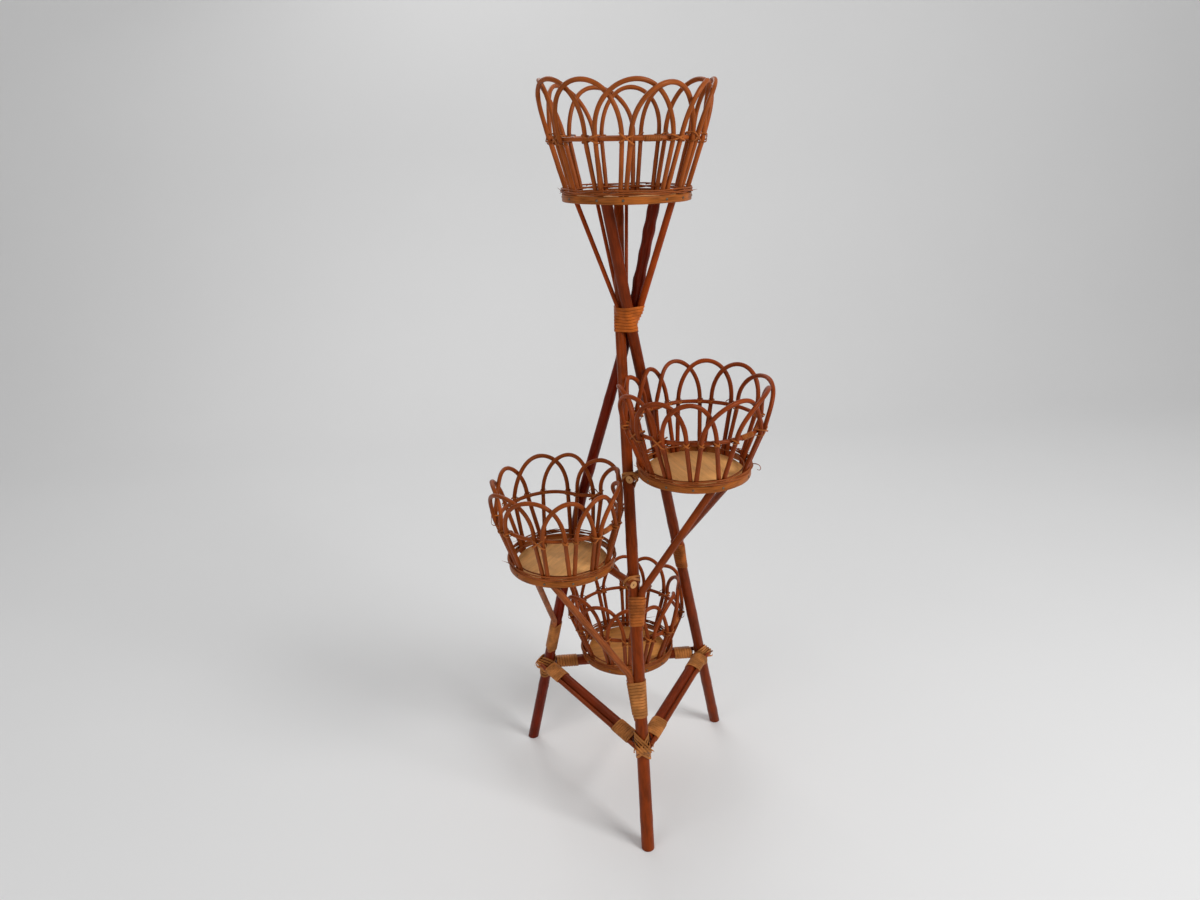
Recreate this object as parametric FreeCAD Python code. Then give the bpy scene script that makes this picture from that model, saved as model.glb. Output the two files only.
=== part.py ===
import FreeCAD, Part
import math
import os

os.makedirs("parts", exist_ok=True)

# Wicker plant stand: a tripod of three round poles that cross at a lashed waist, with a
# three-sided frame near the floor, two bracketed baskets on the sides, one basket on the
# rear stretcher and one on the crown. Millimetres, +Z up, front of the stand towards -Y.

# Overall placing: the tripod's axis, moved so that the origin is under the middle of the stand
axis_x = -6.2
axis_y = -6.0

# Fits and cutting
clearance = 0.3
overrun = 60.0
nail_seat = 0.05

# Tripod: feet, waist and tops
foot_reach = 187.5
front_foot_angle = -90.0
right_foot_angle = 30.0
left_foot_angle = 150.0
waist_height = 744.0
waist_x = 5.7
waist_y = -0.5
front_waist_reach = 10.1
front_waist_angle = 187.0
right_waist_reach = 9.0
right_waist_angle = -54.0
left_waist_reach = 9.9
left_waist_angle = 61.0
pole_top_height = 917.0
front_top_reach = 41.0
front_top_angle = 87.0
right_top_reach = 38.6
right_top_angle = 235.0
left_top_reach = 45.7
left_top_angle = -15.0
left_knee_height = 470.0
left_knee_reach = 79.5
left_knee_angle = 145.0
pole_bend_radius = 300.0
front_foot_diameter = 19.4
front_top_diameter = 13.4
right_foot_diameter = 17.4
right_top_diameter = 15.4
left_foot_diameter = 17.7
left_top_diameter = 14.2

# Lower triangle: three stretchers and one closed hoop of thin cane round the poles
stretcher_height = 158.0
stretcher_diameter = 16.0
corner_cane_diameter = 6.8
corner_cane_gap = 0.4
stretcher_lashing_start = 19.6
stretcher_lashing_pitch = 4.5
stretcher_lashing_turns = 8
rear_left_lashing_turns = 7
rear_right_lashing_turns = 5

# Lashing cane
lashing_cane_diameter = 3.2
tie_cane_diameter = 2.4
tie_gap = 0.6
corner_tie_slope_share = 1.5
corner_tie_turns = 2
arm_tie_turns = 2
left_arm_tie_rise = -6.5
right_arm_tie_rise = -8.5
left_arm_tie_slope_share = 1.0
right_arm_tie_slope_share = 0.9

# Crown lashing and struts
crown_lashing_bottom = 741.0
crown_lashing_height = 35.0
crown_lashing_turns = 8
strut_diameters = [6.2, 5.4, 5.0, 9.2]
strut_foot_height = 768.0
strut_top_reach = 70.0
strut_top_angles = [-167.0, 120.0, 83.0, -40.0]
strut_foot_angles = [-150.0, 116.0, 89.0, -17.0]

# Arms: straight rods laid on the outer side of two poles, under a basket
arm_diameter = 11.0
arm_front_overhang = 20.0
arm_rear_overhang = 12.0
left_arm_height = 401.2
right_arm_height = 547.0

# Braces: bent rods from a pole to the underside of a basket
brace_bend_radius = 22.0
left_long_brace_diameter = 10.0
left_long_brace_foot = 193.0
left_long_brace_lap = 68.0
left_long_brace_reach = 72.0
left_long_brace_angle = -103.0
left_short_brace_diameter = 9.0
left_short_brace_foot = 186.0
left_short_brace_lap = 65.0
left_short_brace_reach = 69.0
left_short_brace_angle = -124.0
right_long_brace_diameter = 10.4
right_long_brace_below_arm = 19.2
right_long_brace_lap = 57.0
right_long_brace_reach = 69.0
right_long_brace_angle = -80.0
right_short_brace_diameter = 9.4
right_short_brace_foot = 335.0
right_short_brace_lap = 64.0
right_short_brace_reach = 69.0
right_short_brace_angle = -64.0
brace_lashing_pitch = 5.0
brace_sliver = 1.6

# Basket parts that all four share
board_thickness = 5.0
hoop_thickness = 2.4
hoop_height = 10.0
stake_diameter = 6.5
stake_bend_radius = 25.0
stake_bend_height = 12.5
ring_diameter = 5.6
weave_strand_diameter = 2.8
weave_row_pitch = 3.6
arch_sway = 4.3
ring_winding_cane_diameter = 1.8
ring_winding_pitch = 2.6
ring_winding_turns = 8
nail_shank_diameter = 1.5
nail_hole_diameter = 1.9
nail_head_diameter = 3.6
nail_head_thickness = 0.9
pressed_side_angle = 20.0

# Top basket
top_basket_x = 8.4
top_basket_y = 3.5
top_basket_height = 917.5
top_hoop_diameter = 172.0
top_ring_diameter = 187.0
top_ring_height = 78.0
top_rim_diameter = 224.0
top_rim_height = 147.0
top_tilt_angle = 1.2
top_tilt_towards_angle = 55.0
top_lean = 0.0
top_pair_angles = [22, 53, 74, 106, 137, 171, 204, 237, 260, 299, 320, 351]
top_low_stake_angles = [19, 50, 71, 103, 134, 168, 201, 233, 260, 298, 319, 348]
top_high_stake_angles = [25, 56, 77, 109, 140, 174, 207, 241, 266, 305, 325, 354]
top_arch_height_shares = [1.02, 1.01, 0.98, 0.98, 0.99, 1.02, 1.01, 0.99, 0.98, 0.955, 0.975, 1.0]
top_winding_angle = 283.0

# Right basket
right_basket_x = 87.2
right_basket_y = -74.5
right_hoop_diameter = 158.0
right_ring_diameter = 180.0
right_ring_height = 76.5
right_rim_diameter = 202.0
right_rim_height = 135.0
right_tilt_angle = 0.0
right_tilt_towards_angle = -105.0
right_lean = 5.0
right_pair_angles = [10, 41, 70, 101, 125, 150, 178, 207, 231, 258, 288, 328]
right_low_stake_angles = [6, 39, 64, 93, 118, 146, 173, 203, 228, 253, 276, 323]
right_high_stake_angles = [16, 46, 74, 104, 130, 153, 182, 210, 234, 264, 292, 331]
right_arch_height_shares = [0.98, 1.01, 1.01, 1.01, 0.99, 0.97, 0.97, 0.97, 0.97, 0.98, 0.98, 0.98]
right_winding_angle = 308.0

# Left basket
left_basket_x = -101.7
left_basket_y = -38.7
left_hoop_diameter = 156.0
left_ring_diameter = 175.0
left_ring_height = 79.0
left_rim_diameter = 189.0
left_rim_height = 138.0
left_tilt_angle = 0.0
left_tilt_towards_angle = -90.0
left_lean = 4.0
left_pair_angles = [8, 43, 73, 111, 143, 177, 211, 248, 278, 305, 332]
left_low_stake_angles = [3, 43, 68, 103, 134, 172, 206, 245, 271, 297, 325]
left_high_stake_angles = [13, 51, 79, 119, 147, 180, 215, 252, 280, 302, 334]
left_arch_height_shares = [1.0, 1.0, 1.0, 1.0, 0.97, 0.96, 0.98, 1.0, 1.0, 1.0, 1.0]
left_winding_angle = 314.0

# Bottom basket
bottom_basket_x = 6.0
bottom_basket_y = 86.0
bottom_hoop_diameter = 153.0
bottom_ring_diameter = 172.0
bottom_ring_height = 72.0
bottom_rim_diameter = 184.0
bottom_rim_height = 130.0
bottom_tilt_angle = 0.0
bottom_tilt_towards_angle = -90.0
bottom_lean = 0.0
bottom_pair_angles = [35, 60, 85, 112, 143, 175, 208, 241, 264, 288, 312, 353]
bottom_low_stake_angles = [32, 57, 82, 109, 140, 172, 205, 238, 261, 285, 309, 350]
bottom_high_stake_angles = [38, 63, 88, 115, 146, 178, 211, 244, 267, 291, 315, 356]
bottom_arch_height_shares = [1.0, 1.0, 1.0, 1.0, 1.0, 1.0, 1.0, 1.0, 1.0, 1.0, 1.0, 1.0]
bottom_winding_angle = 332.0

UP = FreeCAD.Vector(0, 0, 1)
parts = {}


# Points and directions

def turned(reach, angle, height):
    """A point at a reach and an angle round the local vertical axis."""
    a = math.radians(angle)
    return FreeCAD.Vector(reach * math.cos(a), reach * math.sin(a), height)


def unit(vector):
    return vector * (1 / vector.Length)


def across(vector, direction):
    """The part of a vector that is square to a direction."""
    return vector - direction * vector.dot(direction)


# Paths made of lines and arcs

def arc_from(start, tangent, end):
    """The arc that leaves start along tangent and reaches end; a line when they are in line."""
    chord = end - start
    along = unit(chord)
    bend = across(tangent, along)
    if bend.Length < 1e-6:
        return Part.makeLine(start, end)
    rise = chord.Length / 2 * bend.Length / (1 + tangent.dot(along))
    middle = (start + end) / 2 + unit(bend) * rise
    return Part.Arc(start, middle, end).toShape()


def biarc(start, start_tangent, end, end_tangent):
    """Two arcs that join two points with given tangents."""
    chord = end - start
    turn = 1 - start_tangent.dot(end_tangent)
    lean = chord.dot(start_tangent + end_tangent)
    if turn < 1e-9:
        reach = chord.dot(chord) / (4 * chord.dot(end_tangent))
    else:
        reach = (math.sqrt(lean * lean + 2 * turn * chord.dot(chord)) - lean) / (2 * turn)
    first_corner = start + start_tangent * reach
    second_corner = end - end_tangent * reach
    joint = (first_corner + second_corner) / 2
    joint_tangent = unit(second_corner - first_corner)
    return [arc_from(start, start_tangent, joint), arc_from(joint, joint_tangent, end)]


def biarcs(nodes):
    """Edges of a smooth path through (point, tangent) nodes."""
    edges = []
    for (start, start_tangent), (end, end_tangent) in zip(nodes, nodes[1:]):
        edges += biarc(start, start_tangent, end, end_tangent)
    return edges


def rounded_path(points, bend_radii):
    """Straight runs between points, with an arc at each inner point."""
    edges = []
    start = points[0]
    for before, corner, after, radius in zip(points, points[1:], points[2:], bend_radii):
        inward = unit(corner - before)
        outward = unit(after - corner)
        half_turn = math.acos(max(-1, min(1, inward.dot(outward)))) / 2
        cut = radius * math.tan(half_turn)
        arc_start = corner - inward * cut
        arc_end = corner + outward * cut
        edges.append(Part.makeLine(start, arc_start))
        edges.append(arc_from(arc_start, inward, arc_end))
        start = arc_end
    edges.append(Part.makeLine(start, points[-1]))
    return edges


def tube(edges, start_radius, end_radius=None):
    """A round rod along edges; it tapers when it has an end radius."""
    first, last = edges[0], edges[-1]
    start = first.valueAt(first.FirstParameter)
    start_way = first.tangentAt(first.FirstParameter)
    profiles = [Part.Wire(Part.makeCircle(start_radius, start, start_way))]
    if end_radius is not None:
        end = last.valueAt(last.LastParameter)
        end_way = last.tangentAt(last.LastParameter)
        profiles.append(Part.Wire(Part.makeCircle(end_radius, end, end_way)))
    return Part.Wire(edges).makePipeShell(profiles, True, False)


def least_gap_to_itself(edges, diameter):
    """The least clear distance of a wound tube to its own other turns."""
    places = []
    run = 0.0
    for edge in edges:
        count = max(3, int(edge.Length / diameter * 2))
        for k in range(count):
            p = edge.FirstParameter + (edge.LastParameter - edge.FirstParameter) * k / count
            places.append((run + edge.Length * k / count, edge.valueAt(p)))
        run += edge.Length
    least = run
    for i, (run_i, point_i) in enumerate(places):
        for run_j, point_j in places[i + 1:]:
            if run_j - run_i > diameter * math.pi:
                least = min(least, (point_j - point_i).Length)
    return least - diameter


def wound(name, nodes, diameter):
    """One unbroken wound tube through its nodes, with a short straight run at both ends."""
    first, first_way = nodes[0]
    last, last_way = nodes[-1]
    edges = [Part.makeLine(first - first_way * diameter, first)]
    edges += biarcs(nodes)
    edges.append(Part.makeLine(last, last + last_way * diameter))
    print(name, "least gap to itself, mm:", round(least_gap_to_itself(edges, diameter), 2))
    return tube(edges, diameter / 2)


def loop_nodes(origin, axis, side, rod_radius, other_radius, spacing_at, length, turns, cane,
               slope=0, other_slope=0, grow=0, rise=0):
    """Nodes of a winding round two rods that lie side by side. The first rod follows axis
    through origin and the second is on the side given; spacing_at gives their distance.
    With a slope, the second rod crosses the first at origin and the turns run diagonally.
    A rise moves the turns on along the first rod."""
    cross = axis.cross(side)
    pitch = length / turns
    big = rod_radius + clearance + grow + cane / 2
    small = other_radius + clearance + grow + cane / 2
    nodes = []
    for turn in range(turns + 1):
        for station in range(8):
            spacing = spacing_at(min(1, (turn + station / 8) / turns))
            level_contact = math.acos((big - small) / spacing)
            straight = spacing * math.sin(level_contact)
            quarter = big * (math.pi - level_contact) / 2
            arcs = [0, small * level_contact, straight, quarter, quarter, quarter, quarter, straight]
            around = 2 * sum(arcs[:5])
            advance = rise + (turn + sum(arcs[:station + 1]) / around) * pitch - length / 2
            sideways = -advance / (slope - other_slope) if slope else 0
            turned_by = math.atan2(sideways, spacing)
            contact = math.acos((big - small) / math.hypot(spacing, sideways))
            back = (math.pi + contact) / 2
            angle = turned_by + [0, contact, contact, back, math.pi, -back, -contact, -contact][station]
            on_second = station in (0, 1, 7)
            radius = small if on_second else big
            u = radius * math.cos(angle) + (spacing if on_second else 0)
            v = radius * math.sin(angle) + (sideways if on_second else 0)
            way_u = -math.sin(angle)
            way_v = math.cos(angle)
            point = origin + side * u + cross * v + axis * (advance + slope * v)
            way = side * way_u + cross * way_v + axis * (pitch / around + slope * way_v)
            nodes.append((point, unit(way)))
            if turn == turns:
                return nodes


def crossing(point, way, side, other_point, other_way):
    """The point of a rod nearest another rod that crosses it on the side given."""
    apart = across(other_point - point, side)
    slant = way.dot(other_way)
    return point + way * ((apart.dot(way) - slant * apart.dot(other_way)) / (1 - slant * slant))


def diagonal_pitch(cane, slope):
    """The advance of one diagonal turn that leaves the tie gap between neighbours."""
    return (cane + tie_gap) * math.sqrt(1 + slope * slope)


def traced_nodes(point_at, steps):
    """Nodes on a curve given by a function of 0 to 1, with its tangents."""
    nodes = []
    nudge = 1e-4
    for k in range(steps + 1):
        t = k / steps
        way = point_at(t + nudge) - point_at(t - nudge)
        nodes.append((point_at(t), unit(way)))
    return nodes


def cylinder(radius, length, base, way):
    return Part.makeCylinder(radius, length, base, way)


# Tripod poles

def pole(foot_angle, foot_diameter, knees, top, top_diameter):
    """A pole as its corner points and its radii at the floor and under the crown."""
    foot = turned(foot_reach, foot_angle, 0)
    return {"points": [foot] + knees + [top], "foot": foot_diameter / 2, "top": top_diameter / 2}


def pole_run(this_pole, height):
    """The straight run of a pole that holds a height."""
    points = this_pole["points"]
    for low, high in zip(points, points[1:]):
        if height <= high.z:
            return low, high
    return points[-2], points[-1]


def pole_centre(this_pole, height):
    low, high = pole_run(this_pole, height)
    return low + (high - low) * ((height - low.z) / (high.z - low.z))


def pole_way(this_pole, height):
    low, high = pole_run(this_pole, height)
    return unit(high - low)


def pole_radius(this_pole, height):
    return this_pole["foot"] + (this_pole["top"] - this_pole["foot"]) * height / pole_top_height


waist = FreeCAD.Vector(waist_x, waist_y, waist_height)
poles = {
    "front": pole(front_foot_angle, front_foot_diameter,
                  [waist + turned(front_waist_reach, front_waist_angle, 0)],
                  turned(front_top_reach, front_top_angle, pole_top_height), front_top_diameter),
    "right": pole(right_foot_angle, right_foot_diameter,
                  [waist + turned(right_waist_reach, right_waist_angle, 0)],
                  turned(right_top_reach, right_top_angle, pole_top_height), right_top_diameter),
    "left": pole(left_foot_angle, left_foot_diameter,
                 [turned(left_knee_reach, left_knee_angle, left_knee_height),
                  waist + turned(left_waist_reach, left_waist_angle, 0)],
                 turned(left_top_reach, left_top_angle, pole_top_height), left_top_diameter),
}


def pole_rod(this_pole, extra=0):
    """The tapered rod of a pole, longer than the pole at both ends."""
    points = list(this_pole["points"])
    points[0] = points[0] - unit(points[1] - points[0]) * this_pole["foot"]
    points[-1] = points[-1] + unit(points[-1] - points[-2]) * this_pole["foot"]
    path = rounded_path(points, [pole_bend_radius] * (len(points) - 2))
    return tube(path, this_pole["foot"] + extra, this_pole["top"] + extra)


def pole_solid(this_pole, ceiling):
    """A pole cut flat on the floor and under the crown."""
    foot = this_pole["points"][0]
    floor = cylinder(overrun, overrun, FreeCAD.Vector(foot.x, foot.y, 0), UP * -1)
    return pole_rod(this_pole).cut(floor).cut(ceiling)


# Baskets

class Basket:
    """A basket's own frame, radii and stakes. Its points are local: the middle of the
    underside of its hoop is the origin."""

    def __init__(self, place, hoop, ring, ring_height, rim, rim_height, tilt, tilt_towards, lean,
                 pairs, low_stakes, high_stakes, height_shares, pressed_by):
        towards = turned(1, tilt_towards, 0)
        turn = FreeCAD.Rotation(UP.cross(towards), tilt)
        self.place = FreeCAD.Placement(place, turn)
        self.inner = hoop / 2 - hoop_thickness
        self.hoop = hoop / 2
        self.stakes = self.inner - clearance - stake_diameter / 2
        self.board = self.stakes - stake_diameter / 2 - clearance
        self.ring_height = ring_height
        self.ring_spacing = self.spacing_to_ring(ring / 2, lean)
        self.wall_at_ring = ring / 2 + self.ring_spacing
        self.wall_at_rim = rim / 2
        self.rim_height = rim_height
        self.lean_way = towards * (lean / ring_height)
        self.pairs = pairs
        self.low_stakes = low_stakes
        self.high_stakes = high_stakes
        self.height_shares = height_shares
        self.pressed_by = pressed_by

    def spacing_to_ring(self, ring_reach, lean):
        """The level distance from the ring's middle to a leaning stake that touches it."""
        touching = (ring_diameter + stake_diameter) / 2 + clearance
        out = ring_reach + touching + lean - self.stakes
        return touching * math.hypot(1, out / (self.ring_height - stake_bend_height))

    def wall(self, reach, angle, height, sway=0):
        """A point of the wall at a height. Where a pole stands close, the wall is pressed in.
        A sway moves the point inwards from the wall, or outwards when it is negative."""
        middle = self.lean_way * height
        for this_pole in self.pressed_by:
            world_height = self.place.Base.z + height
            beside = self.place.inverse().multVec(pole_centre(this_pole, world_height)) - middle
            away = math.hypot(beside.x, beside.y)
            taken = pole_radius(this_pole, world_height) + clearance + tie_cane_diameter + clearance
            room = away - taken - stake_diameter / 2 - abs(sway)
            offset = math.remainder(angle - math.degrees(math.atan2(beside.y, beside.x)), 360)
            reach -= max(0, reach - room) * math.exp(-(offset / pressed_side_angle) ** 2)
        return turned(reach - sway, angle, height) + middle

    def ring_centre(self, angle):
        """The middle of the ring's cane, just inside the stakes."""
        stake = self.wall(self.wall_at_ring, angle, self.ring_height)
        return stake - turned(self.ring_spacing, angle, 0)

    def arch_ends(self, index):
        """The angles of one arch at the base and at the ring, from its first foot to its last."""
        count = len(self.pairs)
        before = index - 1
        after = (index + 1) % count
        back_turn = -360 if index == 0 else 0
        next_turn = 360 if index == count - 1 else 0
        half_pair = math.degrees(math.asin((stake_diameter + clearance) / 2 / self.stakes))
        base = (self.pairs[before] + back_turn + half_pair, self.pairs[after] + next_turn - half_pair)
        ring = (self.high_stakes[before] + back_turn, self.low_stakes[after] + next_turn)
        return base, ring

    def arch_point(self, index, t):
        """A point over the arch, t from 0 at its first foot on the ring to 1 at its last."""
        ring = self.arch_ends(index)[1]
        theta = math.radians(180 * t - 90)
        angle = (ring[0] + ring[1]) / 2 + (ring[1] - ring[0]) / 2 * math.sin(theta)
        top = self.rim_height * self.height_shares[index]
        height = self.ring_height + (top - self.ring_height) * math.cos(theta)
        reach = self.wall_at_ring + (self.wall_at_rim - self.wall_at_ring) * math.cos(theta)
        return self.wall(reach, angle, height, arch_sway * math.sin(2 * theta))

    def stake_points(self, base_angle, ring_angle):
        bottom = turned(self.stakes, base_angle, 0)
        bend = turned(self.stakes, base_angle, stake_bend_height)
        return bottom, bend, self.wall(self.wall_at_ring, ring_angle, self.ring_height)

    def put(self, shape):
        """A local shape, moved to its place on the stand."""
        moved = shape.copy()
        moved.Placement = self.place.multiply(shape.Placement)
        return moved

    def ceiling(self):
        """All that is above the basket's underside, to cut what stands below it."""
        return self.put(cylinder(2 * self.hoop, overrun, UP * -clearance, UP))


def arch_solid(basket, index):
    """One stake bent over into an arch, its two feet inside the hoop."""
    base, ring = basket.arch_ends(index)
    first = rounded_path(list(basket.stake_points(base[0], ring[0])), [stake_bend_radius])
    last = rounded_path(list(basket.stake_points(base[1], ring[1]))[::-1], [stake_bend_radius])
    up = first[-1].tangentAt(first[-1].LastParameter)
    down = last[0].tangentAt(last[0].FirstParameter)
    nodes = traced_nodes(lambda t: basket.arch_point(index, t), 6)[1:-1]
    nodes = [(basket.arch_point(index, 0), up)] + nodes + [(basket.arch_point(index, 1), down)]
    return tube(first + biarcs(nodes) + last, stake_diameter / 2)


def board_solid(basket):
    return cylinder(basket.board, board_thickness, FreeCAD.Vector(), UP)


def hoop_solid(basket):
    """The flat hoop, with a nail hole at each pair of stakes."""
    band = cylinder(basket.hoop, hoop_height, FreeCAD.Vector(), UP)
    band = band.cut(cylinder(basket.inner, hoop_height, FreeCAD.Vector(), UP))
    for angle in basket.pairs:
        hole_start = turned(basket.inner - hoop_thickness, angle, hoop_height / 2)
        band = band.cut(cylinder(nail_hole_diameter / 2, 3 * hoop_thickness, hole_start, turned(1, angle, 0)))
    return band


def nail_solid(seat, way, shank_length):
    """A nail with its head on the seat and its shank against the way given."""
    head = cylinder(nail_head_diameter / 2, nail_head_thickness, seat + way * nail_seat, way)
    shank = cylinder(nail_shank_diameter / 2, shank_length + nail_seat, seat + way * nail_seat, way * -1)
    return head.fuse(shank)


def hoop_nails(basket):
    nails = []
    for angle in basket.pairs:
        seat = turned(basket.hoop, angle, hoop_height / 2)
        nails.append(nail_solid(seat, turned(1, angle, 0), hoop_thickness))
    return nails


def weave_solid(basket):
    """Two strands outside the stakes on the hoop's edge, and one inside them."""
    strand = weave_strand_diameter / 2
    first_row = hoop_height + clearance + strand
    rings = []
    for row_height in (first_row, first_row + weave_row_pitch):
        outermost = 0
        for index in range(len(basket.pairs)):
            base, ring = basket.arch_ends(index)
            for base_angle, ring_angle in zip(base, ring):
                bottom, bend, top = basket.stake_points(base_angle, ring_angle)
                rise = (row_height + strand - bend.z) / (top.z - bend.z)
                stake = bend + (top - bend) * rise
                outermost = max(outermost, math.hypot(stake.x, stake.y))
        reach = outermost + stake_diameter / 2 + strand + clearance
        rings.append(Part.makeTorus(reach, strand, UP * row_height, UP))
    inside = basket.stakes - stake_diameter / 2 - strand - clearance
    rings.append(Part.makeTorus(inside, strand, UP * first_row, UP))
    return Part.makeCompound(rings)


def ring_solid(basket, start_angle):
    """The ring: one cane with its two ends butted under the winding."""
    gap_angle = math.degrees(clearance / basket.wall_at_ring)
    sweep = 360 - gap_angle
    nodes = traced_nodes(lambda t: basket.ring_centre(start_angle + gap_angle / 2 + sweep * t), 24)
    return tube(biarcs(nodes), ring_diameter / 2)


def ring_winding(name, basket, middle_angle):
    """Thin cane wound round the ring where its ends meet."""
    cane = ring_winding_cane_diameter
    around = ring_diameter / 2 + clearance + cane / 2
    span = math.degrees(ring_winding_pitch * ring_winding_turns / basket.wall_at_ring)

    def point_at(t):
        angle = middle_angle + span * (t - 1 / 2)
        turn = 2 * math.pi * ring_winding_turns * t
        out = turned(1, angle, 0)
        return basket.ring_centre(angle) + out * (around * math.cos(turn)) + UP * (around * math.sin(turn))

    return wound(name, traced_nodes(point_at, 4 * ring_winding_turns), cane)


baskets = {
    "top": Basket(FreeCAD.Vector(top_basket_x, top_basket_y, top_basket_height),
                  top_hoop_diameter, top_ring_diameter, top_ring_height, top_rim_diameter,
                  top_rim_height, top_tilt_angle, top_tilt_towards_angle, top_lean, top_pair_angles,
                  top_low_stake_angles, top_high_stake_angles, top_arch_height_shares, []),
    "right": Basket(FreeCAD.Vector(right_basket_x, right_basket_y,
                                   right_arm_height + arm_diameter / 2 + clearance),
                    right_hoop_diameter, right_ring_diameter, right_ring_height, right_rim_diameter,
                    right_rim_height, right_tilt_angle, right_tilt_towards_angle, right_lean,
                    right_pair_angles, right_low_stake_angles, right_high_stake_angles,
                    right_arch_height_shares, [poles["front"], poles["right"]]),
    "left": Basket(FreeCAD.Vector(left_basket_x, left_basket_y,
                                  left_arm_height + arm_diameter / 2 + clearance),
                   left_hoop_diameter, left_ring_diameter, left_ring_height, left_rim_diameter,
                   left_rim_height, left_tilt_angle, left_tilt_towards_angle, left_lean,
                   left_pair_angles, left_low_stake_angles, left_high_stake_angles,
                   left_arch_height_shares, [poles["front"], poles["left"]]),
    "bottom": Basket(FreeCAD.Vector(bottom_basket_x, bottom_basket_y,
                                    stretcher_height + stretcher_diameter / 2 + clearance),
                     bottom_hoop_diameter, bottom_ring_diameter, bottom_ring_height,
                     bottom_rim_diameter, bottom_rim_height, bottom_tilt_angle,
                     bottom_tilt_towards_angle, bottom_lean, bottom_pair_angles,
                     bottom_low_stake_angles, bottom_high_stake_angles, bottom_arch_height_shares,
                     [poles["right"], poles["left"]]),
}
winding_angles = {"top": top_winding_angle, "right": right_winding_angle,
                  "left": left_winding_angle, "bottom": bottom_winding_angle}

all_nails = []
for basket_name, basket in baskets.items():
    put = basket.put
    parts[basket_name + "_board"] = put(board_solid(basket))
    parts[basket_name + "_hoop"] = put(hoop_solid(basket))
    parts[basket_name + "_weave"] = put(weave_solid(basket))
    arches = [arch_solid(basket, index) for index in range(len(basket.pairs))]
    parts[basket_name + "_arches"] = put(Part.makeCompound(arches))
    winding_angle = winding_angles[basket_name]
    parts[basket_name + "_ring"] = put(ring_solid(basket, winding_angle))
    winding = ring_winding(basket_name + "_ring_winding", basket, winding_angle)
    parts[basket_name + "_ring_winding"] = put(winding)
    all_nails += [put(nail) for nail in hoop_nails(basket)]
parts["hoop_nails"] = Part.makeCompound(all_nails)

for pole_name, node in (("front", "leg_front"), ("right", "leg_rear_right"), ("left", "leg_rear_left")):
    parts[node] = pole_solid(poles[pole_name], baskets["top"].ceiling())


# Lower triangle

def beside(this_pole, height, rod_radius, gap):
    """The level distance from a pole's middle to a level rod that touches it crosswise."""
    lean = pole_way(this_pole, height).dot(UP)
    return (pole_radius(this_pole, height) + rod_radius + gap) / lean


def outer_tangent(first, second, first_reach, second_reach, outside):
    """The level line that passes two poles on their outer side: its two points nearest the
    poles' middles, its outward direction and its own direction."""
    between = unit(second - first)
    sideways = UP.cross(between)
    if sideways.dot(outside) < 0:
        sideways = sideways * -1
    turn = (first_reach - second_reach) / (second - first).Length
    outward = sideways * math.sqrt(1 - turn * turn) + between * turn
    start = first + outward * first_reach
    end = second + outward * second_reach
    return start, end, outward, unit(end - start)


corner_order = ["front", "right", "left"]
cane_radius = corner_cane_diameter / 2
stretcher_radius = stretcher_diameter / 2
corner_centres = {}
corner_reaches = {}
for pole_name in corner_order:
    corner_centres[pole_name] = pole_centre(poles[pole_name], stretcher_height)
    corner_reaches[pole_name] = beside(poles[pole_name], stretcher_height, cane_radius, corner_cane_gap)
triangle_middle = sum((corner_centres[n] for n in corner_order), FreeCAD.Vector()) / len(corner_order)
sides = {}
for first_name, second_name, side_name in (("front", "right", "right"), ("right", "left", "rear"),
                                           ("left", "front", "left")):
    first = corner_centres[first_name]
    second = corner_centres[second_name]
    outside = (first + second) / 2 - triangle_middle
    sides[side_name] = (first_name, second_name) + outer_tangent(
        first, second, corner_reaches[first_name], corner_reaches[second_name], outside)

tie_stack = 2 * (tie_cane_diameter + clearance) + clearance
cane_to_stretcher = stretcher_radius + cane_radius + clearance


def stretcher_solid(side):
    """A stretcher between two poles, its ends hollowed round the ties and mitred."""
    first_name, second_name, start, end, outward, way = sides[side]
    inside = outward * -cane_to_stretcher
    rod = cylinder(stretcher_radius, (end - start).Length, start + inside, way)
    for name in (first_name, second_name):
        this_pole = poles[name]
        centre = corner_centres[name]
        along = pole_way(this_pole, stretcher_height)
        hollow = pole_radius(this_pole, stretcher_height) + tie_stack
        rod = rod.cut(cylinder(hollow, 2 * overrun, centre - along * overrun, along))
        inward = unit(triangle_middle - centre)
        beyond = UP.cross(inward)
        if beyond.dot((start + end) / 2 - centre) > 0:
            beyond = beyond * -1
        block = Part.makeBox(overrun, 2 * overrun, 2 * overrun,
                             FreeCAD.Vector(-clearance / 2, -overrun, -overrun))
        turn = FreeCAD.Rotation(beyond, UP.cross(beyond), UP, "XYZ")
        block.Placement = FreeCAD.Placement(centre, turn)
        rod = rod.cut(block)
    return rod


for side in sides:
    parts["stretcher_" + side] = stretcher_solid(side)


def corner_cane_solid():
    """Thin cane round the outside of the three poles, its ends butted on the left side."""
    start = (sides["left"][2] + sides["left"][3]) / 2
    edges = []
    point = start + sides["left"][5] * (clearance / 2)
    for side, next_side in (("left", "right"), ("right", "rear"), ("rear", "left")):
        corner = sides[side][3]
        edges.append(Part.makeLine(point, corner))
        point = sides[next_side][2]
        edges.append(arc_from(corner, sides[side][5], point))
    edges.append(Part.makeLine(point, start - sides["left"][5] * (clearance / 2)))
    return tube(edges, cane_radius)


parts["corner_cane"] = corner_cane_solid()


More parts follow.
